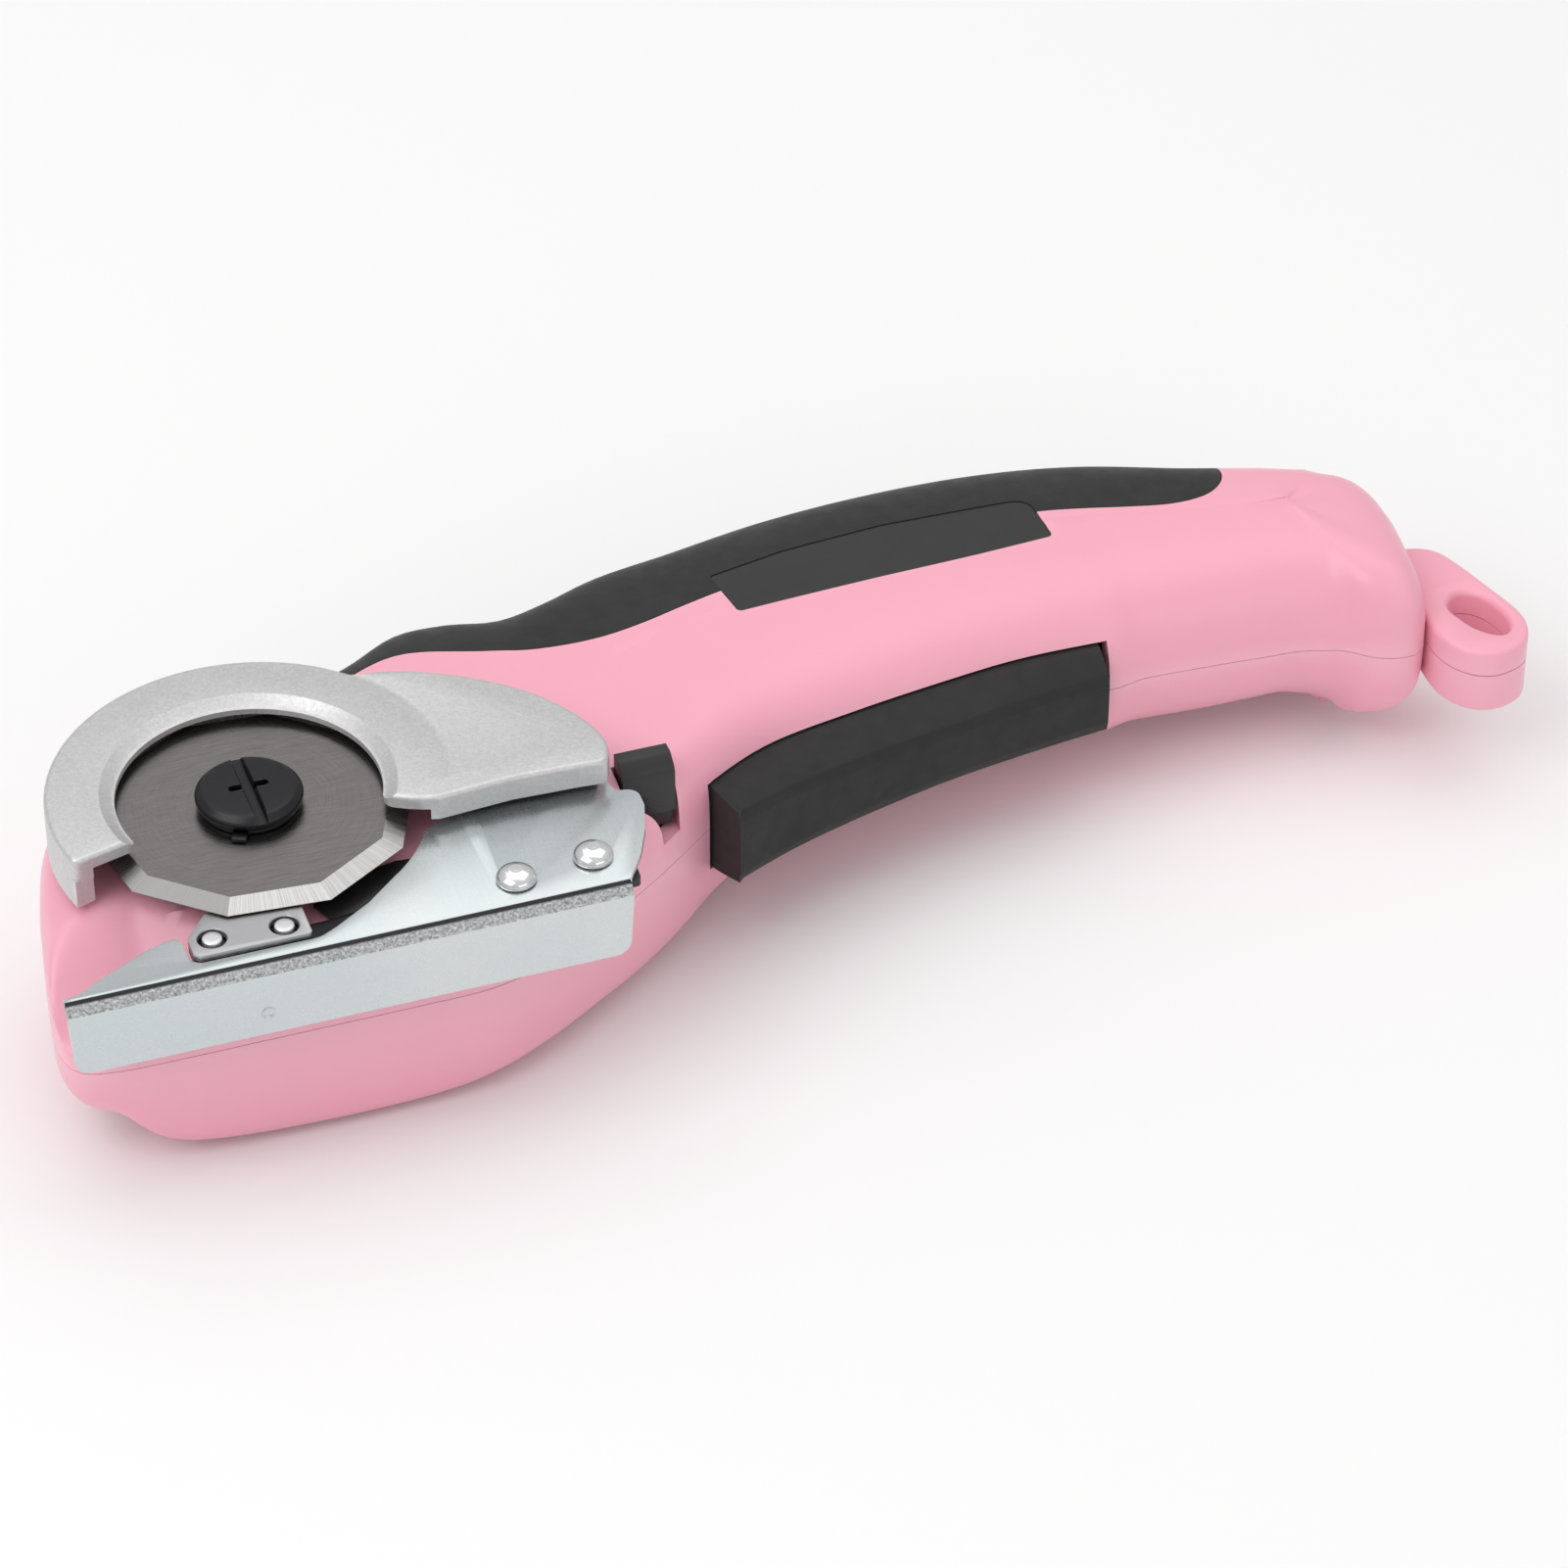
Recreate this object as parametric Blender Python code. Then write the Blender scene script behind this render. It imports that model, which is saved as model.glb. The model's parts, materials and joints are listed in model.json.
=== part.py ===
"""Cordless electric rotary fabric cutter: a decagonal blade in a guard, driven by a motor and worm gear in a two-shell handle.

All dimensions are in millimetres and are measured from the blade's centre, in the plane of its cutting edge: X runs
along the sole towards the tail, Y from the sole towards the spine of the handle, Z along the blade's axis, out of the
cutting side. The tool lies on its back shell. The model's own origin is on the floor, under the middle of the tool.
"""

import math

import bmesh
import bpy
from mathutils import Matrix, Vector

# ---- driving dimensions -------------------------------------------------------------------------------------------
FLOOR_Z = -39.8017         # lowest face of the back shell
CENTRE_X, CENTRE_Y = 83.0202, 12.3763   # middle of the tool over the floor
GAP = 0.3                 # between pieces that touch

PART_Z = -19.0            # parting plane of the two shells
WALL = 2.4                # shell wall
SHELL_GAP = 0.15          # each shell stops this far short of the parting plane

BLADE_R = 24.0            # across the points of the decagon, as a radius
BLADE_FLAT_R = 20.9       # where the ground bevel starts
BLADE_T = 1.0
BLADE_SIDES = 10
BLADE_TURN = -148.64      # direction of one point of the blade, degrees
BLADE_BORE_R = 4.3

GUARD_R, GUARD_IN_R = 29.2, 19.1
GUARD_TOP, GUARD_UNDER, GUARD_LOW = 4.5, 2.3, -3.7
GUARD_POCKET_R = 26.3

FOOT_T = 1.0
FOOT_TOP = -1.0
SOLE_Y = -33.2            # outer face of the sole
SOLE_LOW = -13.3
SOLE_X = (-35.0, 47.0)

SPINDLE_R = 4.0
FLANGE_R = 9.0
SPINDLE_LOW = -34.0
SCREW_R = 7.8

WHEEL_TEETH = 22
MODULE = 1.0
WHEEL_R = WHEEL_TEETH * MODULE / 2
WHEEL_FACE = 5.0
WORM_R = 4.0
DRIVE_Z = -21.5           # height of the worm's axis
DRIVE_TURN = 10.0         # the motor's axis, degrees from X
DRIVE_OFF = WHEEL_R + WORM_R + 0.2   # worm axis to spindle axis

MOTOR_R, MOTOR_LEN = 12.0, 31.0
MOTOR_AT = 20.6           # from the worm's middle to the motor's front face
SHAFT_R = 1.15

CELL_R, CELL_LEN = 9.15, 65.0
CELL_A = (98.5, 32.3)
CELL_TURN = -3.8

TRIGGER_PIN = (131.0, 16.2)
TRIGGER_HALF = 7.6
TRIGGER_ARC = 65.5        # from the pin to the trigger's front face

# ---- the housing's outline on the parting plane, anticlockwise from the nose: x, y, squareness of the section above and
# ---- below the plane, height above it, depth below it
OUTLINE = [
    (-28.6, -27.6, 5.0, 2.8, 15.0, 19.8), (-18.0, -28.0, 6.0, 6.5, 15.0, 20.6), (0.0, -28.0, 7.0, 9.5, 15.0, 20.8),
    (17.0, -28.0, 7.0, 9.5, 15.0, 20.8), (28.0, -27.6, 5.5, 7.0, 15.0, 20.6), (37.0, -24.6, 5.0, 6.0, 15.2, 20.2),
    (46.0, -19.4, 4.5, 5.8, 15.5, 20.0), (55.0, -13.6, 4.2, 5.8, 16.0, 19.8), (63.0, -7.6, 4.0, 5.5, 16.5, 19.4),
    (70.0, -2.4, 3.4, 4.5, 17.0, 18.8), (80.0, 2.0, 2.7, 3.0, 17.4, 18.2), (94.0, 4.6, 2.4, 2.4, 17.7, 17.7),
    (110.0, 7.0, 2.3, 2.3, 17.7, 17.7), (125.0, 8.6, 2.2, 2.2, 17.7, 17.7), (140.0, 9.1, 2.2, 2.2, 17.7, 17.6),
    (154.0, 8.5, 2.2, 2.2, 17.5, 17.2), (162.0, 7.9, 2.2, 2.2, 17.2, 16.2), (168.0, 7.4, 2.2, 2.2, 17.0, 16.0),
    (174.0, 4.4, 2.3, 2.4, 17.2, 17.4), (179.0, 1.6, 2.6, 2.8, 17.2, 17.8), (184.0, 1.0, 3.0, 3.0, 16.8, 17.4),
    (187.0, 5.0, 3.2, 3.2, 16.2, 17.2), (188.4, 13.0, 3.2, 3.2, 16.0, 17.2), (189.4, 21.0, 3.2, 3.2, 15.8, 17.2),
    (190.0, 28.0, 3.2, 3.2, 15.8, 17.2), (189.2, 33.0, 3.0, 3.0, 15.8, 17.2), (186.0, 36.6, 2.8, 2.8, 16.0, 17.4),
    (180.0, 39.4, 2.5, 2.5, 16.4, 17.6), (171.0, 43.4, 2.3, 2.3, 17.0, 17.7), (160.0, 48.0, 2.2, 2.2, 17.4, 17.7),
    (145.0, 54.0, 2.2, 2.2, 17.7, 17.7), (129.0, 57.2, 2.2, 2.2, 17.7, 17.7), (112.0, 57.9, 2.2, 2.2, 17.7, 17.7),
    (95.0, 56.2, 2.3, 2.3, 17.7, 17.7), (78.0, 52.4, 2.5, 2.5, 17.4, 17.8), (66.0, 49.2, 3.0, 3.0, 16.8, 18.4),
    (57.0, 45.2, 3.6, 3.6, 16.0, 19.0), (49.0, 42.8, 4.2, 4.0, 15.4, 19.4), (41.0, 44.8, 4.5, 4.2, 15.0, 19.6),
    (33.0, 44.0, 5.0, 4.5, 15.0, 19.8), (24.0, 38.8, 5.0, 4.5, 15.0, 20.0), (13.0, 33.6, 5.5, 4.5, 15.0, 20.0),
    (0.0, 30.6, 6.0, 4.5, 15.0, 20.0), (-12.0, 28.0, 6.0, 4.5, 15.0, 19.8), (-21.5, 21.8, 6.0, 4.5, 15.0, 19.6),
    (-28.0, 12.6, 6.0, 4.5, 15.0, 19.4), (-31.4, 2.0, 6.0, 4.0, 15.0, 19.2), (-33.6, -10.0, 5.5, 3.4, 15.0, 19.0),
    (-34.8, -20.0, 5.0, 2.8, 15.0, 19.0), (-33.4, -25.6, 5.0, 2.5, 15.0, 19.2),
]
RIDGE_X = (2.0, 172.0)    # the crown of the housing runs between these
NOSE_EDGE = [(-60.0, -7.5), (-20.0, -7.5), (-11.0, -16.5), (0.0, -28.5), (3.0, -60.0)]   # where the nose starts to fall away
NOSE_SLOPE = 0.75

SCREW_SPOTS = [(-26.0, -16.0), (3.0, 26.6), (45.0, -9.5), (62.0, 38.5), (127.0, 48.0), (176.0, 12.0)]

for old in list(bpy.data.objects):
    bpy.data.objects.remove(old)


# ---- helpers ------------------------------------------------------------------------------------------------------
def world(p):
    """design millimetres to the model's own metres"""
    return Vector(((p[0] - CENTRE_X) / 1000, (p[1] - CENTRE_Y) / 1000, (p[2] - FLOOR_Z) / 1000))


def material(name, colour, rough, metal=0.0):
    m = bpy.data.materials.new(name)
    m.use_nodes = True
    b = m.node_tree.nodes["Principled BSDF"]
    b.inputs["Base Color"].default_value = (*colour, 1.0)
    b.inputs["Roughness"].default_value = rough
    b.inputs["Metallic"].default_value = metal
    return m


def solid(name, points, faces, mat=None, pivot=None):
    """an object from design points; pivot puts its origin on its joint's axis"""
    mesh = bpy.data.meshes.new(name)
    at = world(pivot) if pivot else world((CENTRE_X, CENTRE_Y, FLOOR_Z))
    mesh.from_pydata([world(p) - at for p in points], [], faces)
    bm = bmesh.new()
    bm.from_mesh(mesh)
    bmesh.ops.remove_doubles(bm, verts=bm.verts, dist=1e-7)
    bmesh.ops.recalc_face_normals(bm, faces=bm.faces)
    bm.to_mesh(mesh)
    bm.free()
    obj = bpy.data.objects.new(name, mesh)
    obj.location = at
    bpy.context.scene.collection.objects.link(obj)
    if mat:
        mesh.materials.append(mat)
    return obj


def shade(obj, angle=35):
    obj.data.shade_smooth()
    obj.data.set_sharp_from_angle(angle=math.radians(angle))


def combine(obj, tool, how):
    """a boolean with an exact solver, kept as the object's own mesh"""
    mod = obj.modifiers.new(how, "BOOLEAN")
    mod.operation = how
    mod.solver = "EXACT"
    mod.object = tool
    bpy.context.view_layer.update()
    mesh = bpy.data.meshes.new_from_object(obj.evaluated_get(bpy.context.evaluated_depsgraph_get()))
    obj.modifiers.clear()
    old = obj.data
    obj.data = mesh
    bpy.data.meshes.remove(old)
    bm = bmesh.new()
    bm.from_mesh(mesh)
    bmesh.ops.remove_doubles(bm, verts=bm.verts, dist=2e-6)
    bmesh.ops.dissolve_degenerate(bm, edges=bm.edges, dist=2e-6)
    bm.to_mesh(mesh)
    bm.free()
    gone = tool.data
    bpy.data.objects.remove(tool)
    bpy.data.meshes.remove(gone)
    return obj


def cut(obj, *tools):
    for t in tools:
        combine(obj, t, "DIFFERENCE")
    return obj


def join(obj, *tools):
    for t in tools:
        combine(obj, t, "UNION")
    return obj


def frame_at(origin, along):
    """a placement whose Z runs along a direction; returns a function from local to design points"""
    z = Vector(along).normalized()
    x = Vector((0, 0, 1)) if abs(z.z) < 0.9 else Vector((1, 0, 0))
    x = (x - z * x.dot(z)).normalized()
    y = z.cross(x)
    o = Vector(origin)
    return lambda p: o + x * p[0] + y * p[1] + z * p[2]


def turned(name, profile, sides, mat=None, origin=(0, 0, 0), along=(0, 0, 1), pivot=None, turn=0.0):
    """a profile of (radius, height) points turned about an axis; a closed profile makes a ring, one that starts and
    ends on the axis makes a solid"""
    put = frame_at(origin, along)
    closed = profile[0][0] > 0
    pts, rows = [], []
    for r, h in profile:
        if r <= 1e-9:
            rows.append([len(pts)])
            pts.append(put((0, 0, h)))
        else:
            row = []
            for i in range(sides):
                a = 2 * math.pi * i / sides + turn
                row.append(len(pts))
                pts.append(put((r * math.cos(a), r * math.sin(a), h)))
            rows.append(row)
    faces = []
    pairs = list(zip(rows[:-1], rows[1:])) + ([(rows[-1], rows[0])] if closed else [])
    for a, b in pairs:
        for i in range(sides):
            j = (i + 1) % sides
            if len(a) == 1 and len(b) == 1:
                continue
            if len(a) == 1:
                faces.append((a[0], b[i], b[j]))
            elif len(b) == 1:
                faces.append((a[i], b[0], a[j]))
            else:
                faces.append((a[i], b[i], b[j], a[j]))
    return solid(name, pts, faces, mat, pivot)


def rod(name, r, a, b, sides=16, mat=None, pivot=None, turn=0.0):
    a, b = Vector(a), Vector(b)
    n = (b - a).length
    return turned(name, [(0, 0), (r, 0), (r, n), (0, n)], sides, mat, a, b - a, pivot, turn)


def inset_loop(loop, d):
    """a closed outline moved inwards, corner by corner; anticlockwise outlines shrink with a positive d"""
    out, n = [], len(loop)
    for i in range(n):
        a, b, c = Vector(loop[i - 1]), Vector(loop[i]), Vector(loop[(i + 1) % n])
        u, v = (b - a).normalized(), (c - b).normalized()
        nu, nv = Vector((-u.y, u.x)), Vector((-v.y, v.x))
        m = (nu + nv) / max(0.35, 1 + nu.dot(nv))
        out.append((b.x + m.x * d, b.y + m.y * d))
    return out


def layers(name, loop, levels, mat=None, pivot=None, place=None):
    """an outline stacked at several heights, each level (height, inset)"""
    put = place or (lambda p: p)
    pts, faces, n = [], [], len(loop)
    for h, d in levels:
        for x, y in (inset_loop(loop, d) if d else loop):
            pts.append(put((x, y, h)))
    for k in range(len(levels) - 1):
        for i in range(n):
            j = (i + 1) % n
            faces.append((k * n + i, k * n + j, k * n + n + j, k * n + n + i))
    faces.append(tuple(reversed(range(n))))
    faces.append(tuple((len(levels) - 1) * n + i for i in range(n)))
    return solid(name, pts, faces, mat, pivot)


def block(name, low, high, mat=None, pivot=None, place=None, bevel=0.0):
    (x0, y0, z0), (x1, y1, z1) = low, high
    loop = [(x0, y0), (x1, y0), (x1, y1), (x0, y1)]
    if bevel:
        b = bevel
        loop = [(x0 + b, y0), (x1 - b, y0), (x1, y0 + b), (x1, y1 - b), (x1 - b, y1), (x0 + b, y1), (x0, y1 - b), (x0, y0 + b)]
    return layers(name, loop, [(z0, 0), (z1, 0)], mat, pivot, place)


def arc(cx, cy, r, a0, a1, n):
    return [(cx + r * math.cos(math.radians(a0 + (a1 - a0) * i / n)), cy + r * math.sin(math.radians(a0 + (a1 - a0) * i / n))) for i in range(n + 1)]


def between(table, x):
    """straight interpolation in a table of (x, value)"""
    if x <= table[0][0]:
        return table[0][1]
    for (x0, y0), (x1, y1) in zip(table, table[1:]):
        if x <= x1:
            return y0 + (y1 - y0) * (x - x0) / (x1 - x0)
    return table[-1][1]


def smooth_loop(rows, count, fine=24):
    """a closed smooth curve through rows, with count points evenly spaced along it"""
    m, line = len(rows), []
    for i in range(m):
        p0, p1, p2, p3 = rows[i - 1], rows[i], rows[(i + 1) % m], rows[(i + 2) % m]
        for k in range(fine):
            t = k / fine
            line.append([0.5 * (2 * b + (c - a) * t + (2 * a - 5 * b + 4 * c - d) * t * t + (3 * b - a - 3 * c + d) * t ** 3)
                         for a, b, c, d in zip(p0, p1, p2, p3)])
    line.append(line[0])
    far = [0.0]
    for a, b in zip(line, line[1:]):
        far.append(far[-1] + math.hypot(b[0] - a[0], b[1] - a[1]))
    out, k = [], 0
    for i in range(count):
        s = far[-1] * i / count
        while far[k + 1] < s:
            k += 1
        t = (s - far[k]) / (far[k + 1] - far[k])
        out.append([a + (b - a) * t for a, b in zip(line[k], line[k + 1])])
    return out


def smooth_path(points, count):
    """count points on a smooth open curve through points"""
    pts = [Vector(p) for p in points]
    ext = [2 * pts[0] - pts[1]] + pts + [2 * pts[-1] - pts[-2]]
    out = []
    for i in range(count):
        s = (len(pts) - 1) * i / (count - 1)
        k = min(int(s), len(pts) - 2)
        t = s - k
        a, b, c, d = ext[k:k + 4]
        out.append(0.5 * (2 * b + (c - a) * t + (2 * a - 5 * b + 4 * c - d) * t * t + (3 * b - a - 3 * c + d) * t ** 3))
    return out


def tube(name, path, r, sides, mat=None):
    """a round tube along a path, with flat ends"""
    path = [Vector(p) for p in path]
    ref = None
    pts, faces = [], []
    for i, p in enumerate(path):
        t = (path[min(i + 1, len(path) - 1)] - path[max(i - 1, 0)]).normalized()
        if ref is None:
            ref = Vector((0, 0, 1)) if abs(t.z) < 0.9 else Vector((1, 0, 0))
        ref = (ref - t * ref.dot(t)).normalized()
        other = t.cross(ref)
        for k in range(sides):
            a = 2 * math.pi * k / sides
            pts.append(p + ref * (r * math.cos(a)) + other * (r * math.sin(a)))
    for i in range(len(path) - 1):
        for k in range(sides):
            j = (k + 1) % sides
            faces.append((i * sides + k, i * sides + j, (i + 1) * sides + j, (i + 1) * sides + k))
    faces.append(tuple(reversed(range(sides))))
    faces.append(tuple((len(path) - 1) * sides + k for k in range(sides)))
    return solid(name, pts, faces, mat)


def coil(name, a, b, r, wire, turns, mat):
    """a compression spring from a to b, its end turns closed up"""
    a, b = Vector(a), Vector(b)
    put = frame_at(a, b - a)
    n, length = int(turns * 8), (b - a).length - 2 * wire
    path = []
    for i in range(n + 1):
        t = i / n
        f = min(1.0, max(0.0, (t * turns - 0.8) / (turns - 1.6)))
        h = wire + length * f * 0.92 + length * 0.08 * t
        ang = 2 * math.pi * turns * t
        path.append(put((r * math.cos(ang), r * math.sin(ang), h)))
    return tube(name, path, wire, 4, mat)


# ---- materials ----------------------------------------------------------------------------------------------------
PINK = material("pink_plastic", (0.93, 0.47, 0.58), 0.42)
SOFT = material("black_elastomer", (0.035, 0.035, 0.037), 0.62)
DARK = material("black_plastic", (0.022, 0.022, 0.024), 0.4)
CAST = material("cast_aluminium", (0.72, 0.72, 0.73), 0.38, 0.85)
ZINC = material("zinc_plated_steel", (0.76, 0.79, 0.80), 0.28, 0.9)
BLADE = material("blade_steel", (0.36, 0.34, 0.335), 0.3, 1.0)
STEEL = material("steel", (0.62, 0.62, 0.63), 0.3, 1.0)
OXIDE = material("black_oxide_steel", (0.03, 0.03, 0.032), 0.35, 0.7)
BRONZE = material("bronze", (0.55, 0.36, 0.17), 0.35, 1.0)
BRASS = material("brass", (0.72, 0.55, 0.24), 0.3, 1.0)
NYLON = material("white_nylon", (0.85, 0.84, 0.79), 0.45)
GREY = material("grey_plastic", (0.22, 0.23, 0.24), 0.5)
BOARD = material("circuit_board", (0.02, 0.16, 0.07), 0.45)
MAGNET = material("ferrite", (0.09, 0.09, 0.10), 0.6)
COPPER = material("copper", (0.72, 0.33, 0.18), 0.3, 1.0)
WRAP = material("cell_wrap", (0.08, 0.28, 0.42), 0.35)
RED = material("red_wire", (0.6, 0.03, 0.02), 0.45)
BLACK = material("black_wire", (0.02, 0.02, 0.02), 0.45)


# ---- housing ------------------------------------------------------------------------------------------------------
def side_middle(loop):
    """half way between the belly and the spine, at steps along X"""
    out, n = [], 64
    for k in range(n + 1):
        x = RIDGE_X[0] + (RIDGE_X[1] - RIDGE_X[0]) * k / n
        hits = []
        for a, b in zip(loop, loop[1:] + loop[:1]):
            if (a[0] - x) * (b[0] - x) <= 0 and a[0] != b[0]:
                hits.append(a[1] + (x - a[0]) / (b[0] - a[0]) * (b[1] - a[1]))
        out.append((x, 0.5 * (min(hits) + max(hits))))
    soft = []
    for k in range(len(out)):
        near = out[max(0, k - 4):k + 5]
        soft.append((out[k][0], sum(p[1] for p in near) / len(near)))
    return soft


HULL = smooth_loop(OUTLINE, 72)
MIDDLE = side_middle(HULL)


def nose_limit(x, y, drop=0.0):
    """height of the slope under the blade's mouth"""
    edge = between(NOSE_EDGE, x)
    return PART_Z + 15.0 - drop + min(0.0, y - edge) * NOSE_SLOPE


def flatten(z, limit, x):
    """holds the crown under its limit: sharply on the head, with a soft shoulder along the handle"""
    far = min(1.0, max(0.0, (x - 50.0) / 26.0))
    if far <= 0.0:
        return min(z, limit)
    limit, k = limit + 0.9 * far, 5.0 * far
    h = max(0.0, min(1.0, 0.5 + 0.5 * (limit - z) / k))
    return limit + (z - limit) * h - k * h * (1 - h)


def crown(above, inset, start, steps):
    """rings of points of the housing's surface, moved in by inset, from height start off the parting plane"""
    rings = []
    n = len(HULL)
    for j in range(steps + 1):
        ring = []
        for i, (x, y, ka, kb, ha, hb) in enumerate(HULL):
            k, h = (ka, ha) if above else (kb, hb)
            ax, ay = HULL[i - 1][:2]
            bx, by = HULL[(i + 1) % n][:2]
            u = Vector((by - ay, ax - bx)).normalized()
            rx = min(max(x, RIDGE_X[0]), RIDGE_X[1])
            ry = between(MIDDLE, rx)
            top = math.radians(84)
            t0 = math.asin(min(1.0, (start / (h - inset)) ** (k / 2)))
            t = t0 + (top - t0) * (j / steps) ** 0.9
            w = math.cos(t) ** (2 / k)
            z = (h - inset) * math.sin(t) ** (2 / k)
            px = rx + (x - u.x * inset - rx) * w
            py = ry + (y - u.y * inset - ry) * w
            pz = PART_Z + z if above else PART_Z - z
            if above and steps:
                pz = max(PART_Z + start, flatten(pz, nose_limit(px, py, inset * 1.25), px))
            ring.append((px, py, pz))
        rings.append(ring)
    return rings


def stack(rings, faces, at):
    """side faces of a stack of rings that starts at point number at"""
    n = len(rings[0])
    for j in range(len(rings) - 1):
        for i in range(n):
            k = (i + 1) % n
            faces.append((at + j * n + i, at + j * n + k, at + (j + 1) * n + k, at + (j + 1) * n + i))
    return at + len(rings) * n


def shell(name, above, mat):
    outer, inner = crown(above, 0.0, SHELL_GAP, 5), crown(above, WALL, SHELL_GAP, 3)
    pts, faces, n = [], [], len(HULL)
    for ring in outer + inner:
        pts.extend(ring)
    at = stack(outer, faces, 0)
    end = stack(inner, faces, at)
    faces.append(tuple(at - n + i for i in range(n)))
    faces.append(tuple(end - n + i for i in range(n)))
    for i in range(n):
        k = (i + 1) % n
        faces.append((i, k, at + k, at + i))
    return solid(name, pts, faces, mat)


def slug(name, above, inset, start=SHELL_GAP, steps=5):
    """the housing's half as a full solid"""
    rings = crown(above, inset, start, steps)
    pts, faces, n = [], [], len(HULL)
    for ring in rings:
        pts.extend(ring)
    end = stack(rings, faces, 0)
    faces.append(tuple(end - n + i for i in range(n)))
    faces.append(tuple(range(n)))
    return solid(name, pts, faces)


def within(obj, above):
    """trims a post or a rib to end in the middle of the housing's wall"""
    return combine(obj, slug("limit", above, WALL / 2, 0.05), "INTERSECT")


upper = shell("housing_upper", True, PINK)
lower = shell("housing_lower", False, PINK)

# screw posts inside both shells, with the screws driven from the back
NET = {True: [p for ring in crown(True, 0.0, SHELL_GAP, 24) for p in ring], False: [p for ring in crown(False, 0.0, SHELL_GAP, 24) for p in ring]}


def skin_z(x, y, above):
    """height of the housing's outer surface over a plan point"""
    near = sorted((math.hypot(p[0] - x, p[1] - y), p[2]) for p in NET[above])[:4]
    return sum(z / (d + 0.1) for d, z in near) / sum(1 / (d + 0.1) for d, z in near)


for k, (sx, sy) in enumerate(SCREW_SPOTS):
    roof = skin_z(sx, sy, True) - 1.3
    floor = skin_z(sx, sy, False) + 1.3
    pilot = min(roof - 1.6, PART_Z + 9.0)
    join(upper, within(rod("post", 3.4, (sx, sy, PART_Z + SHELL_GAP), (sx, sy, roof + 3), 12, None, None, 0.1), True))
    cut(upper, rod("pilot", 1.5, (sx, sy, PART_Z - 5), (sx, sy, pilot), 10, None, None, 0.2))
    join(lower, within(rod("post", 3.7, (sx, sy, floor - 3), (sx, sy, PART_Z - SHELL_GAP), 12, None, None, 0.15), False))
    cut(lower, turned("screw_hole", [(0, -60), (2.65, -60), (2.65, -27.0), (1.5, -27.0), (1.5, -10), (0, -10)], 12, None, (sx, sy, 0), (0, 0, 1), None, 0.3))
    tip = pilot - 0.6
    turned("housing_screw_%d" % (k + 1), [(0, -28.0), (0.9, -28.0), (1.0, -29.0), (2.2, -28.6), (2.3, -27.3), (1.15, -27.3), (1.15, tip), (0, tip)], 10, OXIDE, (sx, sy, 0))

# rubber over the spine: an outline in plan, its inner edge on the shells' crown
GRIP_EDGE = [(20.0, 29.5), (26.0, 32.8), (31.0, 33.9), (36.5, 32.9), (44.7, 29.8), (50.2, 28.0), (56.1, 27.2), (62.3, 27.3),
             (68.9, 28.6), (76.0, 30.7), (84.0, 32.6), (97.0, 35.0), (111.0, 36.2), (125.0, 36.2), (134.6, 35.3), (141.0, 33.9), (148.0, 32.0), (154.5, 30.6),
             (159.8, 30.9), (163.2, 32.8), (165.2, 36.0), (166.0, 41.0), (166.0, 46.0)]
grip_line = [tuple(p[:2]) for p in smooth_path([(x, y, 0) for x, y in GRIP_EDGE], 38)]
grip_loop = grip_line + [(166.0, 80.0), (20.0, 80.0)]


def wrap(above, loop, out_by, depth, name):
    """a slab of the housing's skin inside a plan outline, from out_by outside the surface to depth inside it"""
    z = (PART_Z + SHELL_GAP, 20.0) if above else (-70.0, PART_Z - SHELL_GAP)
    body = slug(name, above, -out_by)
    combine(body, slug("core", above, depth, SHELL_GAP - 0.1), "DIFFERENCE")
    combine(body, layers("plan", loop, [(z[0] - 5, 0), (z[1] + 5, 0)]), "INTERSECT")
    return body


def shrink(loop, d):
    return inset_loop(loop, d) if area(loop) > 0 else inset_loop(loop, -d)


def area(loop):
    return 0.5 * sum(a[0] * b[1] - b[0] * a[1] for a, b in zip(loop, loop[1:] + loop[:1]))


grips = {}
for above, case, name in ((True, upper, "spine_grip_upper"), (False, lower, "spine_grip_lower")):
    cut(case, wrap(above, shrink(grip_loop, -GAP), 3.0, 1.5, "recess"))
    grip = wrap(above, grip_loop, 0.0, 1.2, name)
    grip.data.materials.clear()
    grip.data.materials.append(SOFT)
    shade(grip)
    grips[above] = grip

# black cover let into the handle's cutting side
PANEL = [(82.9, 26.4), (90.1, 26.8), (106.1, 27.6), (122.2, 28.1), (134.1, 28.6), (134.0, 37.8), (132.4, 39.2), (110.6, 40.0), (94.2, 38.7), (81.5, 36.2)]
cut(upper, wrap(True, shrink(PANEL, -GAP), 3.0, 1.3, "recess"))
combine(grips[True], wrap(True, shrink(PANEL, -GAP), 3.0, 1.7, "recess"), "DIFFERENCE")
shade(grips[True])
panel = wrap(True, PANEL, 0.0, 1.0, "side_cover")
panel.data.materials.clear()
panel.data.materials.append(DARK)
shade(panel)

# ---- drive frame of reference: s along the motor's axis, t away from the spindle, z up -----------------------------
DC, DS = math.cos(math.radians(DRIVE_TURN)), math.sin(math.radians(DRIVE_TURN))


def drive(s, t, z=DRIVE_Z):
    """a point s along the worm's axis direction and t across it, from the spindle"""
    return (s * DC - t * DS, s * DS + t * DC, z)


ALONG = (DC, DS, 0.0)


def drive_place(p):
    return drive(p[0], p[1], p[2])


# hole for the spindle, seats for the guard screws
cut(upper, rod("hole", 6.4, (0, 0, -12), (0, 0, 5), 28))
GUARD_SCREWS = [(31.5, 12.5), (-23.5, 13.25)]
for x, y in GUARD_SCREWS:
    cut(upper, turned("hole", [(0, -13), (2.1, -13), (2.1, -6.9), (1.5, -6.9), (1.5, 5), (0, 5)], 10, None, (x, y, 0)))

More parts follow.
